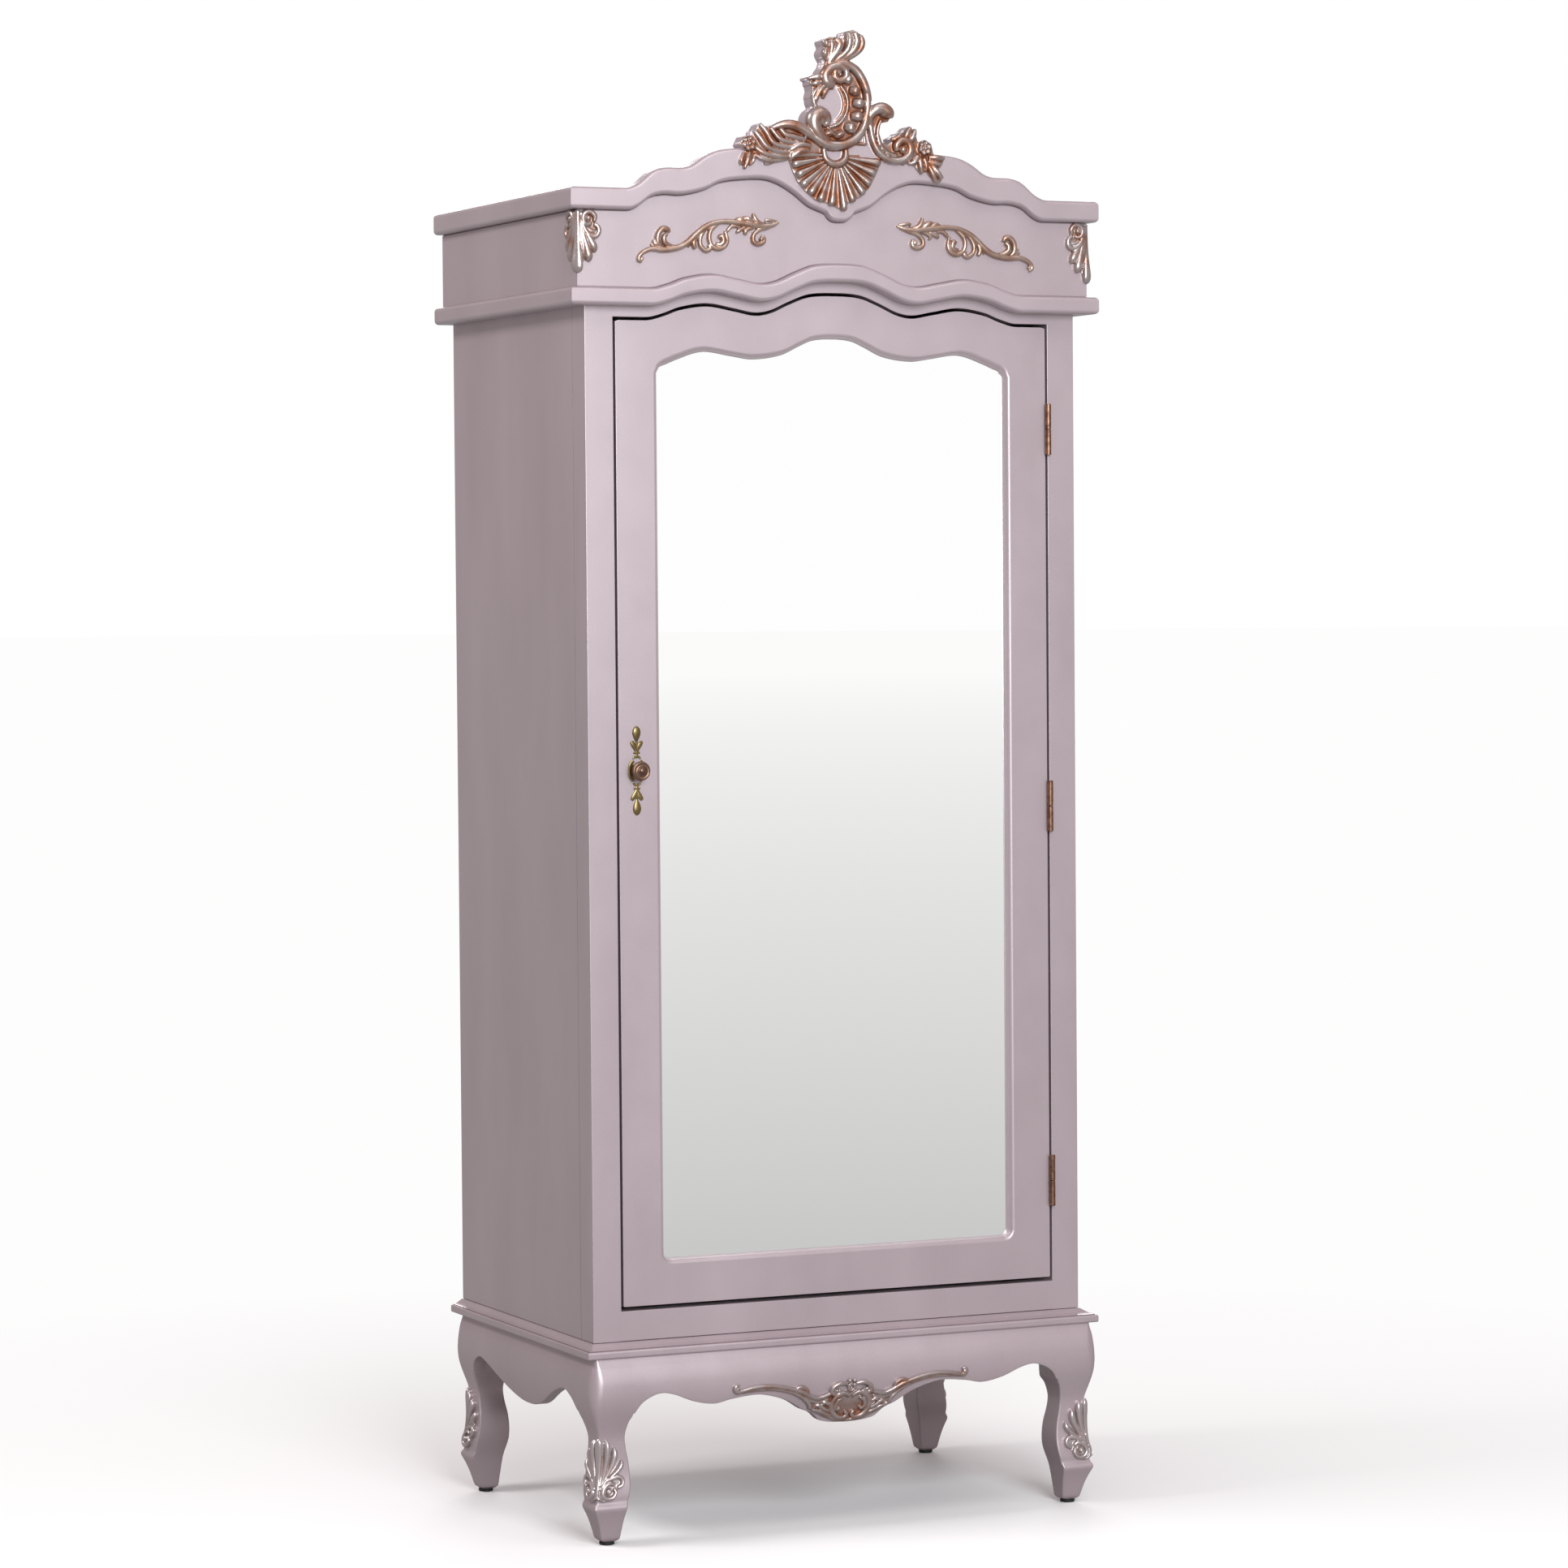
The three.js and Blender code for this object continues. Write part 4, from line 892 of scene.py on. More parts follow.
def mark_recesses(mesh, rounds=6, reach=0.0011):
    """Stores how far each point lies in a groove, -1 on a crest to 1 deep in, as "recess"."""
    count = len(mesh.vertices)
    co = np.empty(count * 3)
    mesh.vertices.foreach_get("co", co)
    co = co.reshape(-1, 3)
    normals = np.empty(count * 3)
    mesh.vertices.foreach_get("normal", normals)
    normals = normals.reshape(-1, 3)
    pairs = np.empty(len(mesh.edges) * 2, int)
    mesh.edges.foreach_get("vertices", pairs)
    a, b = pairs.reshape(-1, 2).T
    degree = np.bincount(pairs, minlength=count)[:, None]

    def averaged(values):
        total = np.zeros_like(values)
        np.add.at(total, a, values[b])
        np.add.at(total, b, values[a])
        return total / np.maximum(degree, 1)

    smooth = co
    for _ in range(rounds):
        smooth = 0.4 * smooth + 0.6 * averaged(smooth)
    depth = ((smooth - co) * normals).sum(1)[:, None] / reach
    for _ in range(2):
        depth = 0.5 * depth + 0.5 * averaged(depth)
    recess = mesh.attributes.new("recess", "FLOAT", "POINT")
    recess.data.foreach_set("value", np.clip(depth[:, 0], -1, 1).astype(np.float32))


def carved(name, bm, body, finish, replaced=(), crease=180):
    """A carving as a finished piece, its recesses marked for the wax."""
    made = piece(name, bm, body, finish, replaced, crease)
    mark_recesses(made.data)
    return made


def gold_wiped(name, silver, gold, umber, gold_from, gold_to, patches=0.25):
    """Cast resin, silver-lacquered, then rubbed with copper-gold wax that is wiped off the high
    parts: bright silver crests, warm gold slopes, and umber in the deepest cuts."""
    shader = {"Metallic": 0.75, "Roughness": 0.33, "Coat Weight": 0.2, "Coat Roughness": 0.2}
    made, tree, surface, place = material(name, shader)
    recess = add(tree, "Attribute", {}, attribute_name="recess").outputs["Fac"]
    rubbing = add(tree, "TexNoise", {"Vector": place, "Scale": per_metre(22), "Detail": 4})
    patchy = add(tree, "MapRange", {0: rubbing.outputs[0], 1: 0.3, 2: 0.7, 3: -patches, 4: patches})
    depth = add(tree, "Math", {0: recess, 1: patchy.outputs[0]}, operation="ADD").outputs[0]
    waxed = add(tree, "MapRange", {0: depth, 1: gold_from, 2: gold_to})
    deep = add(tree, "MapRange", {0: depth, 1: gold_to, 2: gold_to + 0.6})
    warm = add(tree, "Mix", {0: waxed.outputs[0], 6: linear(silver), 7: linear(gold)}, data_type="RGBA")
    dark = add(
        tree, "Mix", {0: deep.outputs[0], 6: warm.outputs[2], 7: linear(umber)}, data_type="RGBA"
    )
    tree.links.new(dark.outputs[2], surface.inputs["Base Color"])
    dull = add(tree, "MapRange", {0: depth, 1: -0.4, 2: 0.8, 3: 0.26, 4: 0.5})
    tree.links.new(dull.outputs[0], surface.inputs["Roughness"])
    brushed = add(tree, "TexNoise", {"Vector": place, "Scale": per_metre(1.5), "Detail": 2})
    bump = add(tree, "Bump", {"Height": brushed.outputs[0], "Strength": 0.3, "Distance": 0.0002})
    tree.links.new(bump.outputs[0], surface.inputs["Normal"])
    return made


silvered_carving = gold_wiped(
    "resin_silvered_gold_in_grooves", "#BDB1B1", "#906C5A", "#4A3026", 0.05, 0.6
)
LEG_RIDGES = [
    [(0, 72, 1.6, 1.5), (0, 96, 1.8, 2), (0, 122, 2.4, 2.4), (0, 143, 3, 2.6), (0, 153, 2.4, 2.4),
     (0, 158, 0.8, 1.2)],
    [(3.5, 90, 1.4, 2), (6.5, 108, 2.8, 2.4), (9.5, 126, 4.2, 2.8), (10.8, 141, 5, 2.8),
     (10.6, 150, 4, 2.4), (9.6, 155, 1.2, 1.4)],
    [(5, 90, 1.4, 2), (12, 106, 2.8, 2.4), (18.5, 120, 4.4, 2.8), (22, 132, 5, 2.8),
     (22, 139.5, 3.8, 2.4), (20.8, 144, 1.2, 1.4)],
    [(6, 90, 1.4, 2), (17, 101, 2.6, 2.4), (27, 110, 4, 2.8), (32, 117, 4.4, 2.8),
     (33, 122.5, 3, 2.2), (32.6, 126, 1, 1.2)],
    [(4, 84, 2, 2.4), (9, 96, 2.6, 2.8), (18, 99.5, 2.8, 3), (29, 101.5, 3, 3), (36, 97, 3, 3),
     (36, 89.5, 2.8, 2.8), (29.5, 86.5, 2.2, 2.4)],
    [(24, 90, 2, 2.6), (17, 93, 2.8, 3), (9, 88.5, 3, 3), (6.5, 79.5, 3, 3), (12.5, 72, 3, 3),
     (22, 72, 3, 3), (27, 79, 2.6, 3), (23.5, 85.5, 2, 2.6)],
    [(1, 73, 1.6, 2), (8, 68, 1.6, 2), (18, 68.5, 1.2, 1.5)],
]  # fmt: skip
LEG_GROUND = [
    (-1, 72), (10, 68), (22, 70), (28, 78), (36, 88), (38, 96), (30, 103), (32, 116), (24, 118),
    (22, 134), (14, 132), (12, 148), (-1, 156),
]  # fmt: skip
ridges = [ridge(points) for points in LEG_RIDGES]
ridges += [button(16, 81.5, 4.8, 2.6), plate(LEG_GROUND, 1.4)]
FINE_GRAIN = 0.7
leg_carving = cast(joined(ridges, mirrored=True), FINE_GRAIN, softening=1, flat_back=False)
LEG_RELIEF = 1.3


def wrapped(s, depth, half_x, half_y, radius):
    """A point s millimetres round an upright corner from its arris, standing out by depth."""
    quarter = radius * math.pi / 4
    if abs(s) <= quarter:
        angle = math.pi / 4 + s / radius
        reach = radius + depth
        return half_x - radius + reach * math.cos(angle), half_y - radius + reach * math.sin(angle)
    straight = radius + abs(s) - quarter
    if s < 0:
        return half_x + depth, half_y - straight
    return half_x - straight, half_y + depth


for vert in leg_carving.verts:
    s, depth, z = vert.co.x, -LEG_RELIEF * vert.co.y, vert.co.z
    outer = leg_outer(z)
    vert.co = (*wrapped(s, depth, outer, outer, leg_corner(z)), z)
for name, (foot_x, foot_y, side_x, side_y) in FEET.items():
    bm = leg_carving.copy()
    bmesh.ops.scale(bm, verts=bm.verts, vec=(side_x, side_y, 1))
    bmesh.ops.translate(bm, verts=bm.verts, vec=(foot_x, foot_y, 0))
    carved(f"leg_carving_{name}", bm, "carcass", silvered_carving)
leg_carving.free()

# ---- Backplate ------------------------------------------------------------------------------------
# The knob's plate: a stamped brass rosette with a stem, a crossbar, a fishtail and a leaf above and
# below. Antiqued by dipping and relieving, so the hollows stay dark olive.
antique_brass = gold_wiped("brass_antiqued", "#8E7A4E", "#5C4A2C", "#241A10", -0.4, 0.3)
PLATE_RIDGES = [
    [(0, 39.5, 0.8, 1.5), (0, 44, 2.6, 1.8), (0, 49, 5, 2.2), (0, 55, 6.2, 2.5),
     (0, 60, 5.2, 2.2), (0, 63.2, 2.8, 1.4), (0, 64.4, 1, 1)],
    [(0, 28, 2.4, 2), (3, 34.5, 3.6, 2.5), (6, 39, 3.4, 2.5), (8.4, 42.5, 2.2, 1.5)],
    [(0, 18, 2.2, 2), (0, 30, 2.2, 2.5), (0, 38, 2.6, 2.5), (0, 41, 1.2, 1.5)],
    [(0, 25.5, 1.3, 3), (5, 26, 1.4, 3)],
    [(0, 21, 1.2, 3), (4, 20, 1.2, 3), (5, 17, 1.6, 3)],
    [(5, 14.5, 2.4, 2.5), (9, 10.5, 2.6, 2.5), (11, 5.6, 2.2, 2.5), (11.2, 0, 2, 2.5)],
]  # fmt: skip
ROSETTE_RADIUS = 10.6
ROSETTE_SIDES = 32
rosette = []
for k in range(ROSETTE_SIDES):
    angle = math.tau * k / ROSETTE_SIDES
    rosette.append((ROSETTE_RADIUS * math.cos(angle), ROSETTE_RADIUS * math.sin(angle)))
ridges = [plate(rosette, 3)]
for points in PLATE_RIDGES:
    ridges.append(ridge(points))
    ridges.append(ridge([(x, -z, half, high) for x, z, half, high in points]))
stamped = cast(joined(ridges, mirrored=True), 0.55, softening=2)
low, high = span("knob_backplate")
highest = min(vert.co.y for vert in stamped.verts)
# Pressed until it is as thick as the CAD plate and four tenths more.
bmesh.ops.scale(stamped, verts=stamped.verts, vec=(1, (high.y - low.y + 0.4) / -highest, 1))
centre = ((low.x + high.x) / 2, high.y, (low.z + high.z) / 2)
bmesh.ops.translate(stamped, verts=stamped.verts, vec=centre)
carved("backplate_stamped", stamped, "door", antique_brass, ["knob_backplate"])

# ---- Apron ornament -------------------------------------------------------------------------------
# A pierced cartouche between two long reeded stems, cast in resin and bent to the swell of the front
# apron, glued and pinned. Silvered, with antique gold in the grooves.
apron_carving = gold_wiped(
    "resin_silvered_gold_wiped", "#AEA19F", "#8C5A3F", "#452A1D", -0.15, 0.35
)
APRON_RIDGES = [
    [(34, 198, 2.5, 3), (44, 194.5, 2.8, 3.5), (55, 193, 2.8, 3.5), (66, 197, 2.8, 3.5),
     (82, 205, 2.6, 3.5), (100, 211, 2.6, 3.5), (120, 215.5, 2.6, 3.5), (142, 217.5, 2.6, 3.5),
     (162, 216, 2.6, 3.5), (176, 213, 2.6, 3), (184, 212, 2.8, 3), (188, 216, 2.8, 3),
     (186, 221, 2.4, 3), (181, 221, 1.8, 3)],
    [(64, 178, 2.8, 3), (68, 186, 2.6, 3), (78, 195, 2.4, 2.5), (94, 204, 2.2, 2.5),
     (112, 209.5, 2.2, 2.5), (132, 212.5, 2, 2.5), (156, 212.5, 1.8, 2.5), (178, 210, 1.2, 2)],
    [(36, 190, 2, 2), (50, 187, 2.2, 2), (62, 189, 2.2, 2), (74, 196, 2, 2), (90, 204, 1.5, 2)],
    [(70, 200, 2, 2.5), (72, 206, 2.6, 3), (78, 211, 2.6, 3), (87, 211, 2.6, 3), (92, 206, 2.2, 3),
     (87, 204, 1.8, 3)],
    [(7, 211, 2, 3), (18, 212.5, 2.8, 4), (28, 209, 3, 4), (32, 202, 3, 4), (27, 196.5, 2.6, 4),
     (20, 198.5, 2.4, 4), (20, 204, 2.2, 4)],
    [(2, 193, 2.4, 3), (12, 198, 2.8, 4), (23, 194, 3.2, 4.5), (30, 184, 3.4, 4.5),
     (29, 172, 3.4, 4.5), (20, 162, 3.4, 4.5), (9, 160, 3, 4.5), (4, 165, 2.6, 4.5),
     (8, 169, 2.2, 4)],
    [(14, 190, 1.8, 3), (22, 185, 2.6, 4), (24, 177, 2.6, 4), (19, 172, 2, 3.5), (16, 176, 1.5, 3)],
    [(30, 176, 1.8, 3), (36, 183, 2.6, 4), (43, 185, 2.4, 4), (46, 181, 1.8, 3)],
    [(31, 170, 1.8, 3), (41, 175, 2.6, 4), (50, 181, 2.4, 4), (57, 181, 1.8, 3)],
    [(27, 163, 2, 3), (40, 168, 2.6, 3.5), (51, 173, 2.6, 3.5), (60, 175, 2, 3)],
    [(-1, 156, 2.4, 3), (14, 157, 2.6, 3), (28, 161, 2.6, 2.5), (42, 167, 2.4, 2.5),
     (56, 174, 2.2, 2.5), (67, 180, 2, 2)],
    [(0, 200, 2, 3), (5, 205, 2, 3), (3, 211, 2, 3)],
]  # fmt: skip
APRON_GROUND = [
    (-0.5, 155), (15, 156), (30, 161), (48, 169), (64, 177), (70, 186), (82, 198), (66, 197),
    (55, 192), (40, 193), (34, 199), (26, 200), (16, 199), (4, 206), (-0.5, 206),
]  # fmt: skip
ridges = [ridge(points, swell=1.15) for points in APRON_RIDGES]
ridges += [button(4, 216, 3.4, 3), button(184.5, 216.5, 3.2, 3), button(82, 206, 3, 2.5)]
ridges += [button(24.5, 202, 2.8, 4), plate(APRON_GROUND, 1.4)]
apron_relief = cast(joined(ridges, mirrored=True), 0.85, softening=2)
for vert in apron_relief.verts:
    x, y, z = vert.co
    vert.co = (x, front_foot[1] - leg_outer(z) - CLEAR + y, z)
carved("apron_cartouche", apron_relief, "carcass", apron_carving, ["apron_ornament"])

# ---- Frieze scrolls -------------------------------------------------------------------------------
# A handed pair of rinceaux, cast in resin and pinned to the frieze: a long S stem that ends in an
# arrow towards the middle and in a small spiral outwards. Copper-gold, rubbed to silver on top.
frieze_gilding = gold_wiped(
    "resin_copper_gold_rubbed", "#BDAAA0", "#8A5A3E", "#3A2218", -0.38, 0.28
)
SCROLL_RIDGES = [
    [(95, 1910, 1, 2.5), (106, 1906, 2.4, 3), (122, 1904, 3, 3.5), (140, 1906, 3.4, 4),
     (160, 1908, 3.2, 4), (180, 1909.5, 2.8, 4), (200, 1906.5, 2.8, 4), (215, 1899.5, 3, 4),
     (228, 1889.5, 3.2, 4), (240, 1878.5, 3.4, 4), (252, 1871.5, 3.4, 4), (266, 1868, 3.4, 4),
     (281, 1866.5, 3.2, 4), (296, 1867.5, 2.8, 4), (308, 1863.5, 2.6, 4), (316, 1857, 2.4, 4),
     (317, 1851.5, 2.2, 4), (312, 1849, 2, 4)],
    [(98, 1911.5, 1, 2), (107, 1912.5, 1.8, 3), (116, 1913, 1.6, 3), (117, 1909.5, 1, 2)],
    [(100, 1907, 1.6, 2.5), (114, 1902, 2.2, 3), (127, 1898.5, 2.4, 3.5), (136, 1891, 2.6, 3.5),
     (136.5, 1882, 2.8, 3.5), (129, 1878, 2.8, 3.5), (120.5, 1881, 2.6, 3.5),
     (120, 1887.5, 2.2, 3.5), (125, 1889, 1.6, 3)],
    [(119, 1906, 2, 3), (129, 1909, 3, 4), (134.5, 1915, 3, 4), (136.5, 1922.5, 1.8, 3)],
    [(138, 1909, 2.8, 4), (146, 1914, 3.2, 4.5), (153.5, 1915, 1.8, 3)],
    [(150, 1910, 2.4, 4), (158, 1913, 2.8, 4), (165, 1912, 1.4, 3)],
    [(135, 1902, 2, 3), (145, 1899, 2.4, 3), (149.5, 1894.5, 2.4, 3), (147, 1891, 1.4, 2.5)],
    [(148, 1902, 2, 3), (156, 1898.5, 2.4, 3), (161.5, 1895, 2.2, 3), (161, 1892.5, 1, 2)],
    [(160, 1903, 2, 3), (170, 1902.5, 2.2, 3), (176, 1898, 2.2, 3), (177.5, 1894.5, 1.6, 3)],
    [(192, 1906, 2, 3), (203, 1897, 2.6, 3.5), (206.5, 1886, 2.6, 3.5), (203, 1875, 2.6, 3.5),
     (194, 1870, 2.8, 3.5), (184, 1872.5, 2.8, 3.5), (178.5, 1880, 2.6, 3.5),
     (179, 1889, 2.2, 3), (182, 1896, 1.4, 2.5)],
    [(196, 1877, 2, 3), (189.5, 1876, 2.8, 4), (184.5, 1881, 3.2, 4.5), (187, 1888, 3, 4.5),
     (192, 1886, 2, 3.5)],
    [(203, 1904, 1.8, 3), (214, 1895.5, 2.2, 3.5), (220.5, 1885, 2.6, 3.5), (220, 1874, 2.6, 3.5),
     (212, 1867, 2.8, 3.5), (205, 1870, 2.8, 3.5), (207.5, 1875.5, 2, 3.5)],
    [(218, 1897, 1.6, 3), (227, 1887, 2.4, 3.5), (231, 1877, 3, 3.5), (228, 1869, 2.4, 3)],
    [(227, 1890, 1.4, 3), (234, 1880, 2, 3), (239, 1871, 1.2, 2)],
    [(256, 1870.5, 1.8, 3), (269, 1872.5, 2.6, 4), (277, 1877.5, 3, 4.5), (277.5, 1885, 2.8, 4.5),
     (272.5, 1889, 2, 4)],
    [(279, 1868, 2, 3), (287, 1876, 2.8, 4), (287, 1888, 3.2, 4.5), (280, 1896.5, 3.2, 4.5),
     (272, 1895.5, 2.8, 4.5), (270, 1890.5, 2, 4)],
    [(284, 1870, 2, 3), (291.5, 1875, 2.4, 3.5), (293.5, 1881, 1.8, 3)],
    [(292, 1870, 1.4, 2), (298, 1875, 1.4, 2)],
]  # fmt: skip
frieze_face = FRONT_Y - FRIEZE_PROUD[0]
# The thickness of the glue line under a carving.
GLUE = 0.2
for side, sign in SIDES:
    ridges = [ridge(points, swell=1.3) for points in SCROLL_RIDGES]
    ridges += [button(124, 1885.5, 3.4, 4), button(312, 1853, 2.6, 4)]
    scroll = cast(joined(ridges), FINE_GRAIN, softening=2)
    bmesh.ops.scale(scroll, verts=scroll.verts, vec=(sign, 1, 1))
    bmesh.ops.translate(scroll, verts=scroll.verts, vec=(0, frieze_face - GLUE, 0))
    replaced = [f"frieze_scroll_{side}"]
    carved(f"rinceau_{side}", scroll, "carcass", frieze_gilding, replaced)

# ---- Corner ornaments -----------------------------------------------------------------------------
# Shells cast in one piece and glued round the front corners of the frieze: a long drop on the arris,
# two lobes and a scrolled ear on each face.
CORNER_RIDGES = [
    [(0, 1920, 1.8, 2), (0, 1900, 1.8, 2.4), (0, 1880, 2.2, 2.8), (0, 1862, 3.2, 3.2),
     (0, 1848, 4.4, 3.6), (0, 1839, 4.6, 3.4), (0, 1833, 3.2, 2.4), (0, 1830.5, 1, 1.2)],
    [(4.4, 1917, 1.6, 2.4), (4.4, 1900, 1.6, 2.6), (5, 1882, 1.8, 2.8), (7, 1868, 2, 2.8),
     (8.4, 1857, 1.8, 2.4), (8.6, 1851, 0.8, 1.4)],
    [(5, 1899, 1.4, 2.2), (8.5, 1882, 2.6, 2.6), (12.5, 1866, 4, 3), (15, 1856, 4.8, 3),
     (15.6, 1849.5, 3.4, 2.4), (15.4, 1846.5, 1, 1.2)],
    [(6, 1902, 1.4, 2.2), (12, 1889, 2.6, 2.6), (18.5, 1877, 4, 3), (23, 1868.5, 4.4, 3),
     (24.6, 1862.5, 3, 2.2), (24.8, 1860, 1, 1.2)],
    [(6, 1912, 2, 2.6), (7.5, 1898, 2.4, 2.8), (14, 1887.5, 2.8, 3), (24.5, 1883, 3, 3),
     (31, 1889, 3, 3), (30, 1897, 2.6, 3), (24, 1901, 2, 2.6)],
    [(24.5, 1904, 2, 2.6), (25.5, 1912, 2.8, 3), (19, 1918, 2.8, 3), (11, 1916.5, 2.8, 3),
     (7, 1909.5, 2.6, 3), (9.5, 1902, 2.4, 3), (15, 1900, 2, 2.8), (19.5, 1902, 1.6, 2.4)],
    [(13, 1895, 1.6, 2.6), (20, 1890.5, 2, 3), (27, 1890, 1.6, 2.6)],
]  # fmt: skip
CORNER_GROUND = [
    (-1, 1920), (22, 1920), (27, 1912), (25, 1903), (32, 1896), (32, 1886), (25, 1881), (25, 1865),
    (17, 1857), (14, 1849), (8, 1848), (6, 1836), (-1, 1832),
]  # fmt: skip
ridges = [ridge(points, swell=1.35) for points in CORNER_RIDGES]
ridges += [button(15, 1909, 4, 2.6), plate(CORNER_GROUND, 1.4)]
corner_shell = cast(joined(ridges, mirrored=True), FINE_GRAIN, softening=2, flat_back=False)
WRAP_RADIUS = 6
for vert in corner_shell.verts:
    s, depth, z = vert.co.x, -vert.co.y, vert.co.z
    x, y = wrapped(s, depth, HALF + FRIEZE_PROUD[1], -frieze_face, WRAP_RADIUS)
    vert.co = (x, -y, z)
for side, sign in SIDES:
    bm = corner_shell.copy()
    bmesh.ops.scale(bm, verts=bm.verts, vec=(sign, 1, 1))
    replaced = [f"corner_ornament_{side}"]
    carved(f"corner_shell_{side}", bm, "carcass", apron_carving, replaced)
corner_shell.free()

# ---- Crest ----------------------------------------------------------------------------------------
# The crest stands on the pediment: a fluted shell under a C-scroll with gadroons, acanthus arms and
# two small flowers. Cast relief on a sawn board whose edges keep the plain lacquer.
crest_carving = gold_wiped(
    "resin_silvered_copper_wiped", "#AB9D99", "#8A5233", "#3E2216", -0.3, 0.3, patches=0.35
)
SHELL = (-9, 2008)
SHELL_TIPS = [
    (-84, 2008), (-80, 1993), (-73, 1978), (-66, 1963), (-53, 1951), (-37, 1941), (-18, 1935),
    (3, 1928), (18, 1941), (35, 1953), (46, 1967), (54, 1983), (62, 1999),
]  # fmt: skip
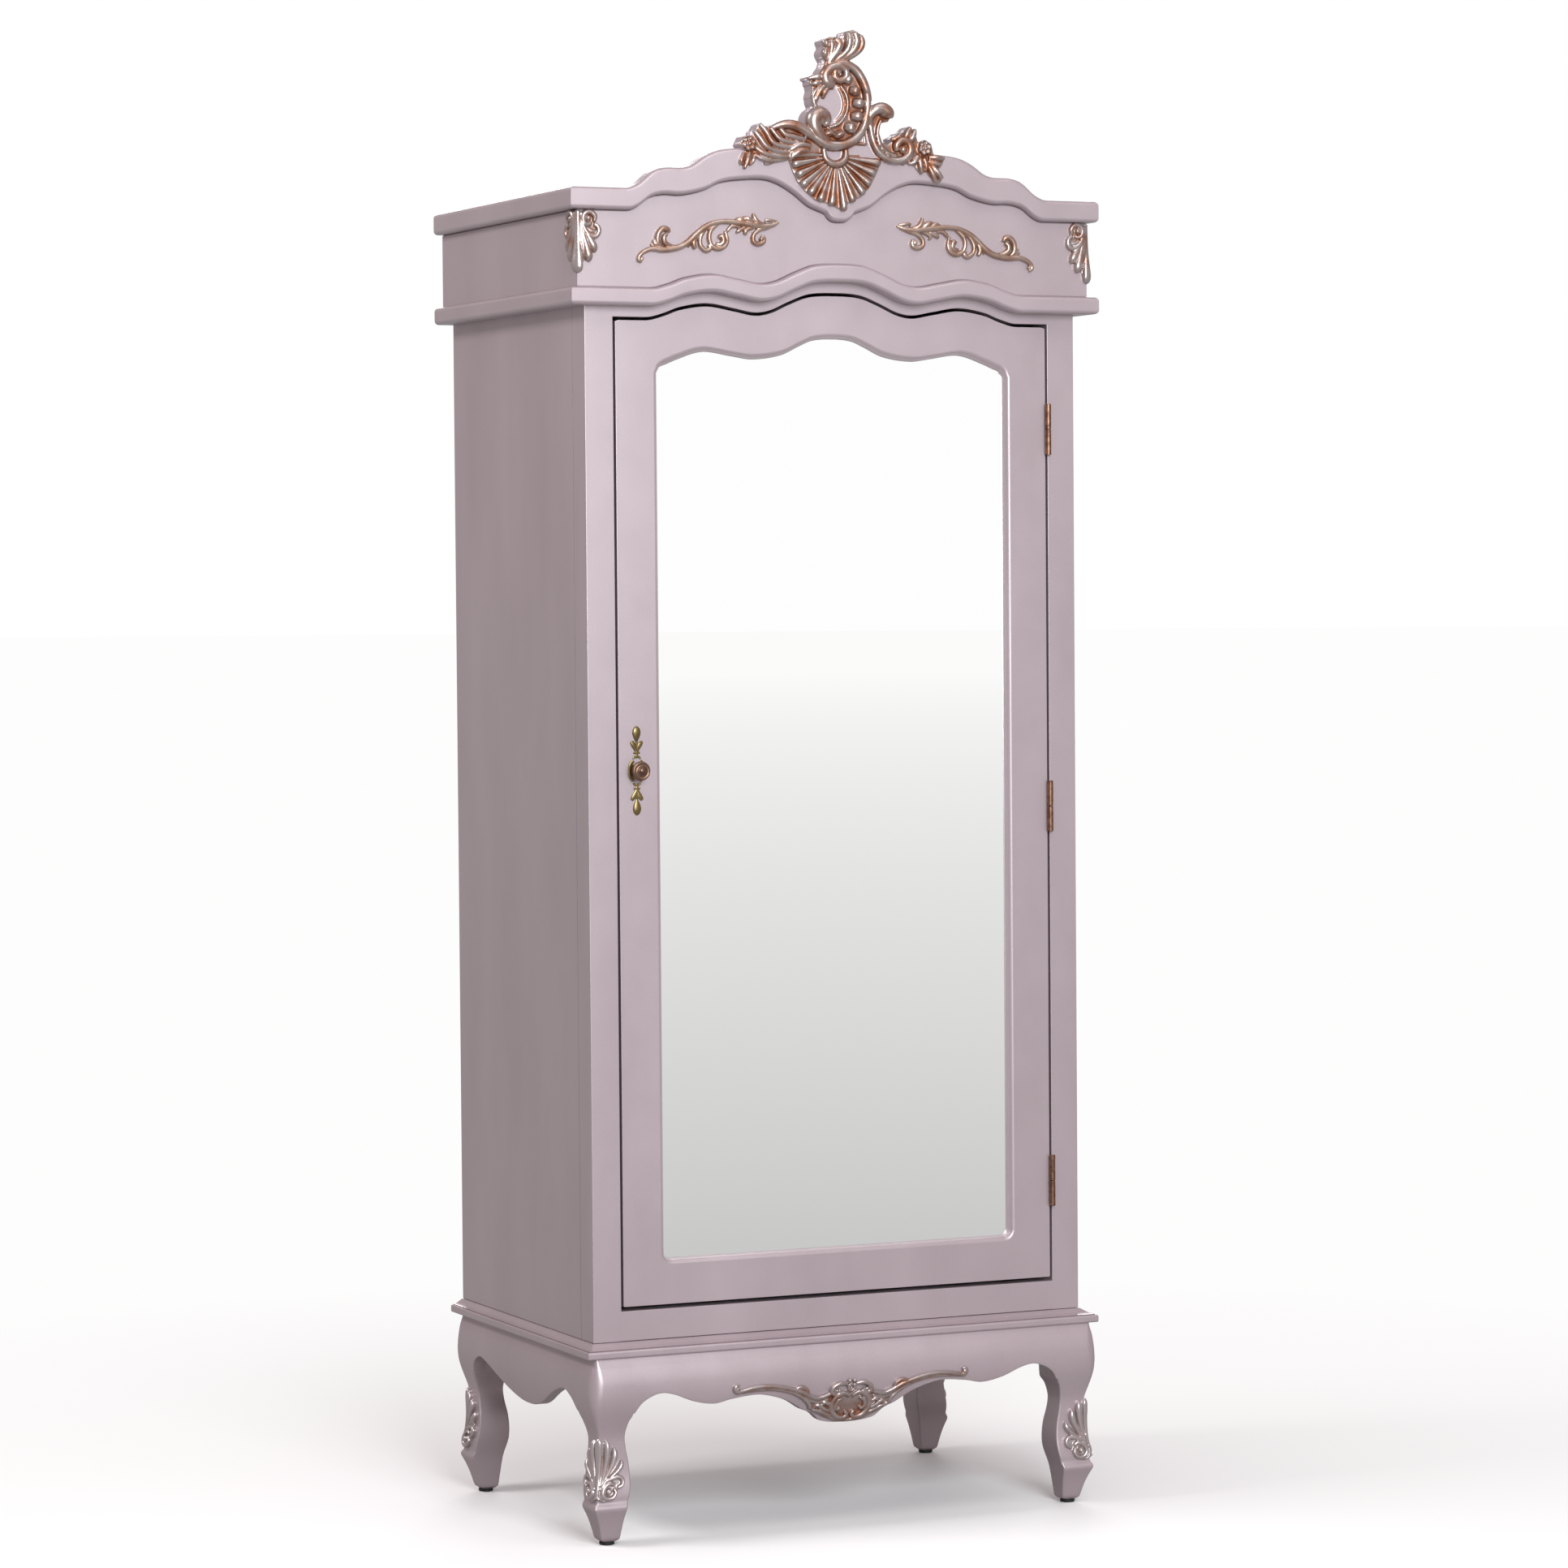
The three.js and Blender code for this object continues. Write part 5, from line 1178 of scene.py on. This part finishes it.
# Each flute is (share of its length, half width, height of its shoulder), from the hinge outwards.
FLUTE = ((0.24, 1.2, 4), (0.48, 2.2, 4.5), (0.74, 3.6, 5), (0.93, 4.8, 5), (1, 3.4, 3.5))
CREST_RIDGES = []
for tip_x, tip_z in SHELL_TIPS:
    x0, z0 = SHELL
    x1, z1 = tip_x - x0, tip_z - z0
    CREST_RIDGES.append([(x0 + share * x1, z0 + share * z1, half, high) for share, half, high in FLUTE])
CREST_RIDGES += [
    # U ring of the shell, the bead round the plain oval, the stay under the right scroll
    [(-30, 2018, 3, 5), (-27, 2003, 4, 6), (-12, 1995, 4.4, 6), (3, 2002, 4, 6), (6, 2018, 3, 5)],
    [(-2, 2110, 1.6, 4), (7, 2096, 1.8, 5), (9, 2080, 1.8, 5), (4, 2065, 1.8, 5),
     (-6, 2054, 1.8, 5), (-20, 2049, 1.6, 4)],
    [(-6, 2108, 1.2, 3), (2, 2094, 1.3, 3.5), (4, 2080, 1.3, 3.5), (-1, 2067, 1.3, 3.5),
     (-10, 2058, 1.2, 3)],
    [(18, 2027, 1.8, 3), (38, 2026.5, 1.8, 3)],
    [(35, 2044, 1.6, 3), (38, 2026, 1.8, 3)],
    # C-scroll: volute, back, and the turn into the left head
    [(-4, 2127, 3.5, 8), (-11, 2131, 3.5, 8), (-12, 2122, 4, 8), (-4, 2117, 4.4, 8),
     (5, 2122, 4.6, 8), (5, 2132, 4.6, 8), (-5, 2138, 5, 8), (-18, 2135, 6, 7),
     (-27, 2125, 7, 6), (-24, 2114, 7.5, 6), (-13, 2110, 5, 6)],
    [(-20, 2136, 4, 6), (-6, 2141, 5, 7), (8, 2140.5, 5.4, 7), (22, 2133, 5.6, 7),
     (32, 2120, 5.6, 7), (39, 2104, 5.4, 7), (45, 2093, 3, 5), (49, 2090, 1.2, 3)],
    [(30, 2124, 4.5, 6), (38, 2106, 5, 6), (41, 2086, 5, 6), (39, 2068, 5, 6), (34, 2051, 5.2, 6.5),
     (24, 2036, 5.6, 7), (9, 2026.5, 6, 7), (-8, 2022.5, 6.4, 7), (-26, 2024, 6.6, 7),
     (-44, 2034, 6, 7), (-56, 2042, 5, 6)],
    [(-24, 2030, 6, 6), (-36, 2036, 8, 7), (-45, 2048, 9.5, 7), (-46, 2061, 10, 7),
     (-37, 2068, 9.5, 7), (-27, 2064, 7.5, 7), (-25, 2056, 5, 7), (-32, 2052, 3.5, 6)],
    # two leaves on top
    [(-25, 2136, 3, 5), (-16, 2150, 4, 7), (-9, 2160, 5.5, 8), (-5, 2170, 6, 8), (-12, 2177, 4, 7)],
    [(-24, 2140, 2.4, 5), (-19, 2154, 3.2, 7), (-17, 2166, 4, 8), (-18, 2176, 3, 7)],
    [(-24, 2146, 2.4, 4), (-27, 2156, 4, 6), (-25, 2162, 2.5, 5)],
    [(-18, 2160, 2.4, 4), (-25, 2170, 4, 6), (-29, 2175, 2, 4)],
    [(-20, 2140, 3, 5), (-2, 2152, 3.5, 7), (8, 2163, 4, 9), (11, 2176, 4.5, 10),
     (9, 2187, 3.2, 8)],
    [(-14, 2141, 3, 5), (6, 2152, 3.6, 7), (18, 2163, 4.4, 9), (22, 2175, 5, 10),
     (19, 2187, 4.4, 9)],
    [(-6, 2143, 3, 5), (14, 2152, 3.6, 7), (28, 2163, 4.2, 8), (32, 2174, 4.2, 8),
     (29, 2184, 3, 7)],
    # leaves left of the oval
    [(-28, 2121, 4, 5), (-41, 2121, 4, 6), (-54, 2118.5, 1.6, 4)],
    [(-30, 2115, 3, 4), (-42, 2112, 3.4, 5), (-50, 2111, 1.4, 3)],
    [(-26, 2111, 3, 5), (-35, 2102, 3.4, 6), (-42, 2088, 2.6, 4), (-44, 2082, 1.4, 3)],
    [(-21, 2108, 2.6, 5), (-28, 2099, 3, 6), (-31, 2091, 2, 4)],
    [(-32, 2108, 2.6, 4), (-43, 2100, 3, 5), (-47, 2090, 2, 4)],
    [(-44, 2098, 2, 3), (-45, 2086, 2.6, 4), (-41, 2076, 2.4, 4)],
    # left arm: the band, then its leaves
    [(-30, 2026, 5, 6), (-50, 2037, 6, 7), (-66, 2046, 6.4, 7), (-82, 2051, 6, 7),
     (-98, 2050, 5, 6), (-112, 2045, 3, 4)],
    [(-58, 2030, 2.6, 5), (-76, 2033, 3.4, 6), (-91, 2036, 3.4, 6), (-102, 2048, 2.8, 5)],
    [(-62, 2024, 2.6, 5), (-84, 2025, 3.2, 6), (-101, 2030, 3.4, 6), (-114, 2045, 2.8, 5)],
    [(-68, 2018, 2.6, 5), (-92, 2018, 3.2, 6), (-111, 2024, 3.6, 6), (-122, 2040, 3.2, 5),
     (-131, 2050, 2.4, 4)],
    [(-74, 2012, 2.6, 4), (-98, 2010.5, 3.2, 5), (-120, 2017, 3.6, 6), (-132, 2031, 3.2, 5),
     (-140, 2040, 2, 4)],
    [(-80, 2006, 2.6, 4), (-103, 2004, 3.2, 5), (-125, 2008, 3.6, 5.5), (-141, 2018, 2.6, 4)],
    [(-88, 2001, 2.4, 3), (-110, 1998, 3, 4), (-127, 2000, 3, 4.5), (-140, 2006, 2, 4)],
    [(-104, 1998, 2, 3), (-118, 1993.5, 2.2, 3), (-124, 1993, 1.2, 2)],
    [(-54, 2014, 3, 6), (-68, 2013, 4, 7), (-80, 2005, 3.4, 6), (-84, 1999, 1.8, 4)],
    [(-52, 2021, 3, 6), (-68, 2022, 3.6, 7), (-82, 2015, 3, 6), (-88, 2010, 1.6, 4)],
    [(-147, 2010, 2.6, 3), (-151, 1998, 3.4, 5), (-156, 1985, 2.4, 4)],
    [(-140, 2006, 2.4, 3), (-142, 1997, 3, 4.5), (-147, 1990, 1.6, 3)],
    [(-156, 2008, 2.4, 3), (-161, 1997, 2.8, 4), (-161, 1990, 1.4, 3)],
    # right arm: the ball head, the S and its volute, the inner rim
    [(43, 2052, 4, 5), (44, 2066, 5, 6), (52, 2076, 7, 7), (64, 2079, 8, 7), (74, 2073, 8, 7),
     (75, 2065, 6, 6)],
    [(45, 2062, 4, 5), (46, 2046, 4, 6), (50, 2030, 4.2, 6.5), (58, 2016, 4.4, 6.5),
     (71, 2006, 4.6, 6.5), (87, 2003, 4.6, 6.5), (101, 2007, 5, 7), (109, 2018, 5, 7),
     (106, 2030, 5, 7), (95, 2033, 5, 7), (87, 2026, 4.6, 7), (88, 2018, 3.4, 7)],
    [(63, 2062, 2, 5), (58, 2050, 2.2, 5), (58, 2036, 2.4, 5), (64, 2022, 2.4, 5),
     (76, 2013, 2.4, 5), (88, 2011, 2, 5)],
    # leaves and flower on the right
    [(100, 2034, 3, 5), (105, 2044, 4, 6), (111, 2053, 2.6, 5)],
    [(107, 2030, 3, 5), (115, 2041, 4, 6), (119, 2051, 2, 4)],
    [(80, 2034, 2.4, 3), (90, 2038, 3, 4), (96, 2044, 2.4, 4)],
    [(118, 2016, 3, 4), (109, 2009, 3.6, 5), (98, 1998, 2, 3)],
    [(124, 2012, 3, 4), (117, 2003, 3.4, 5), (108, 1999, 1.8, 3)],
    [(126, 2010, 3, 4), (127, 1998, 3.6, 5), (130, 1986, 2.4, 4)],
    [(133, 2009, 2.6, 4), (136, 1998, 3, 5), (135, 1989, 2, 4)],
    [(140, 2010, 2.6, 4), (153, 2010, 3.8, 6), (167, 2009, 2.2, 4)],
    [(140, 2005, 2.6, 4), (154, 2001, 3.2, 5), (163, 2001, 1.8, 3)],
    [(137, 2003, 2.6, 4), (146, 1988, 3.6, 5), (152, 1976, 3, 4), (158, 1973, 1.8, 3)],
    [(142, 2001, 2.6, 4), (154, 1989, 3.6, 6), (162, 1979, 3.2, 5)],
]
# The fields left plain: the oval, the U of the shell, and the webs beside the right arm.
PLAIN_FIELDS = [(-18, 2080, 30, 32), (-12, 2010, 14, 16), (44, 2028, 22, 26), (20, 2018, 26, 8)]
# Gadroons and balls: x, z, radius, height.
CREST_BEADS = [(-22, 2118, 11, 2), (98, 2020, 6.4, 5), (68, 2074, 9, 4), (-36, 2060, 10, 4)]
CREST_GADROONS = [
    ((4, 2122), (14, 2116), 5.5), ((12, 2104), (28, 2101), 5.2), ((17, 2086), (36, 2084), 5.6),
    ((14, 2066), (34, 2066), 5.6), ((4, 2052), (20, 2046), 6), ((-8, 2044), (-4, 2034), 7),
    ((-24, 2045), (-22, 2035), 6.4), ((48, 2036), (54, 2038), 2.6), ((49, 2028), (56, 2030), 2.6),
    ((54, 2020), (60, 2024), 2.6), ((62, 2013), (66, 2018), 2.6), ((72, 2008), (74, 2013), 2.6),
]  # fmt: skip
CREST_GROUND = [
    (0, 1929), (14, 1942), (30, 1948), (44, 1962), (52, 1975), (60, 1990), (64, 2004), (84, 1999),
    (98, 1998), (104, 2000), (118, 1996), (128, 1984), (136, 1990), (148, 1976), (160, 1973),
    (164, 1980), (158, 1992), (166, 2004), (166, 2011), (150, 2014), (146, 2030), (136, 2036),
    (124, 2032), (120, 2046), (112, 2052), (102, 2044), (96, 2040), (84, 2034), (74, 2026),
    (66, 2030), (61, 2044), (64, 2058), (76, 2060), (82, 2072), (76, 2084), (62, 2088), (46, 2082),
    (46, 2092), (40, 2112), (32, 2130), (18, 2142), (10, 2148), (28, 2158), (35, 2172), (32, 2186),
    (20, 2192), (6, 2188), (2, 2174), (-6, 2180), (-18, 2180), (-28, 2174), (-28, 2160),
    (-24, 2148), (-26, 2134), (-34, 2124), (-52, 2119), (-48, 2110), (-46, 2098), (-48, 2086),
    (-42, 2074), (-54, 2062), (-54, 2050), (-70, 2052), (-98, 2053), (-116, 2046), (-132, 2050),
    (-142, 2034), (-156, 2032), (-162, 2020), (-154, 2008), (-162, 1996), (-156, 1986),
    (-146, 1992), (-138, 2002), (-122, 1994), (-104, 1997), (-86, 2002), (-80, 1986), (-72, 1970),
    (-60, 1956), (-42, 1942), (-22, 1938),
]  # fmt: skip
ridges = [ridge(points, swell=1.1) for points in CREST_RIDGES]
ridges += [button(*bead) for bead in CREST_BEADS]
for (x0, z0), (x1, z1), half in CREST_GADROONS:
    middle = ((x0 + x1) / 2, (z0 + z1) / 2)
    ends = [(x0, z0, half * 0.8, 5), (*middle, half * 1.35, 7), (x1, z1, half * 0.9, 5)]
    ridges.append(ridge(ends))
PETALS = 6
PETAL = ((3, 1.6, 5), (7.5, 3.6, 6), (10.5, 2, 5))
for flower_x, flower_z in ((-149, 2021), (134, 2023)):
    for petal in range(PETALS):
        angle = math.tau * petal / PETALS + 0.3
        out_x, out_z = math.cos(angle), math.sin(angle)
        ridges.append(
            ridge([(flower_x + r * out_x, flower_z + r * out_z, half, high) for r, half, high in PETAL])
        )
    ridges.append(button(flower_x, flower_z, 3, 7))
ridges.append(plate(CREST_GROUND, 2.6))
CREST_GRAIN = 1.05
crest = cast(joined(ridges), CREST_GRAIN, softening=2)
sawn = [face for face in crest.faces if face.calc_center_median().y > -0.001]
BOARD_DEPTH = 24
extruded = bmesh.ops.extrude_face_region(crest, geom=sawn)["geom"]
moved = [item for item in extruded if isinstance(item, bmesh.types.BMVert)]
bmesh.ops.translate(crest, verts=moved, vec=(0, BOARD_DEPTH, 0))
pediment_face = FRONT_Y - CROWN_PROUD[0]
FACES_FRONT = 0.94
GROUND_LEVEL = 3.2
crest.normal_update()
for face in crest.faces:
    y = face.calc_center_median().y
    x, z = face.calc_center_median().xz
    in_field = any(
        ((x - field_x) / half_x) ** 2 + ((z - field_z) / half_z) ** 2 < 1
        for field_x, field_z, half_x, half_z in PLAIN_FIELDS
    )
    plain = in_field and face.normal.y < -FACES_FRONT and y > -GROUND_LEVEL
    face.material_index = int(y > 0.01 or plain)
bmesh.ops.translate(crest, verts=crest.verts, vec=(0, pediment_face - GLUE, 0))
made = carved("crest", crest, "carcass", crest_carving, ["crest_carving"], crease=60)
made.data.materials.append(metallic_lacquer)

# ---- Studio ---------------------------------------------------------------------------------------
# A pale floor that fades into a white room, a large soft box in front, a weaker one above, and one
# each at the left and behind. Standard colour, so that white stays white.
scene = bpy.context.scene
scene.view_settings.view_transform = "Standard"
FLOOR_RADIUS = 220
floor_bm = bmesh.new()
bmesh.ops.create_circle(floor_bm, cap_ends=True, segments=128, radius=FLOOR_RADIUS)
floor_mesh = bpy.data.meshes.new("floor")
floor_bm.to_mesh(floor_mesh)
floor_bm.free()
floor = bpy.data.objects.new("floor", floor_mesh)
scene.collection.objects.link(floor)
floor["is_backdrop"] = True


def seen_directly(tree):
    """1 where a surface is looked at, straight or in the mirror, and 0 where it only gives light."""
    ray = add(tree, "LightPath", {}).outputs
    looked_at = {0: ray["Is Camera Ray"], 1: ray["Is Singular Ray"]}
    return add(tree, "Math", looked_at, operation="MAXIMUM").outputs[0]


# Round the armoire the paint takes soft shadows; it glows white behind, and in front it runs from
# grey to white with distance, which the mirror shows.
floor_paint, tree, surface, place = material("floor_paint_pale", {"Roughness": 0.8})
surface.inputs["Specular IOR Level"].default_value = 0.1
distance = add(tree, "VectorMath", {0: place}, operation="LENGTH").outputs["Value"]
doublings = add(tree, "Math", {0: distance, 1: 2.0}, operation="LOGARITHM").outputs[0]
in_front = add(tree, "MapRange", {0: doublings, 1: 1.5, 2: 6.4, 3: 0.575, 4: 0.99})
y_place = add(tree, "SeparateXYZ", {0: place}).outputs["Y"]
behind = add(tree, "MapRange", {0: y_place, 1: -3.0, 2: -1.2})
shown = add(tree, "Mix", {0: behind.outputs[0], 2: in_front.outputs[0], 3: 1.0})
seen = seen_directly(tree)
# It lights the armoire far less than it shows.
paint = add(tree, "Mix", {0: seen, 6: linear("#A8A4A4"), 7: linear("#F8F6F6")}, data_type="RGBA")
tree.links.new(paint.outputs[2], surface.inputs["Base Color"])
FLOOR_LIGHT = 0.42
strength = add(tree, "MapRange", {0: seen, 3: FLOOR_LIGHT, 4: shown.outputs[0]})
glow = add(tree, "Emission", {"Color": linear("#FEFDFD"), "Strength": strength.outputs[0]})
fade = add(tree, "MapRange", {0: doublings, 1: -1.0, 2: 1.3})
mixed = add(tree, "MixShader", {0: fade.outputs[0], 1: surface.outputs[0], 2: glow.outputs[0]})
tree.links.new(mixed.outputs[0], tree.nodes["Material Output"].inputs["Surface"])
floor_mesh.materials.append(floor_paint)

world = bpy.data.worlds.new("white_room")
scene.world = world
world.use_nodes = True
tree = world.node_tree
seen = seen_directly(tree)
ROOM_LIGHT = 0.41
strength = add(tree, "MapRange", {0: seen, 3: ROOM_LIGHT, 4: 1.0})
tree.links.new(strength.outputs[0], tree.nodes["Background"].inputs["Strength"])
hue = add(tree, "Mix", {0: seen, 6: linear("#FFF2F3"), 7: linear("#FFFFFF")}, data_type="RGBA")
tree.links.new(hue.outputs[2], tree.nodes["Background"].inputs["Color"])


def soft_box(name, place, target, width, height, power, colour=(1, 1, 1)):
    """A rectangular area light that faces a point."""
    light = bpy.data.lights.new(name, "AREA")
    light.shape = "RECTANGLE"
    light.size, light.size_y = width, height
    light.energy = power
    light.color = colour
    lamp = bpy.data.objects.new(name, light)
    lamp.location = place
    lamp.rotation_euler = (Vector(target) - Vector(place)).to_track_quat("-Z", "Y").to_euler()
    scene.collection.objects.link(lamp)


soft_box("soft_box_front", (-0.7, -5.6, 2.7), (0, 0, 1.5), 2.4, 3.0, 300, (0.93, 1.0, 1.02))
soft_box("soft_box_above", (0.4, -2.2, 4.6), (0, 0, 1.4), 3.0, 1.6, 34)
soft_box("soft_box_left", (-3.4, 0.3, 4.1), (-0.4, 0, 1.9), 1.6, 1.2, 92)
soft_box("soft_box_behind", (2.6, 6.0, 3.2), (0, 0, 1.2), 3.0, 2.4, 110)

# A long lens, 7.5 m from the armoire and a little above its middle.
camera = bpy.data.cameras.new("camera")
camera.lens = 113.29
camera.sensor_width = 36
camera_object = bpy.data.objects.new("camera", camera)
scene.collection.objects.link(camera_object)
CAMERA_PLACE = (-3.0836, -6.7979, 1.3596)
YAW, PITCH, ROLL = (math.radians(angle) for angle in (24.5732, 2.1136, -0.4392))
turn = Matrix.Rotation(-YAW, 4, "Z") @ Matrix.Rotation(math.pi / 2 - PITCH, 4, "X")
camera_object.matrix_world = (Matrix.Translation(CAMERA_PLACE) @ turn @ Matrix.Rotation(ROLL, 4, "Z"))
scene.camera = camera_object

low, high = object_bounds()
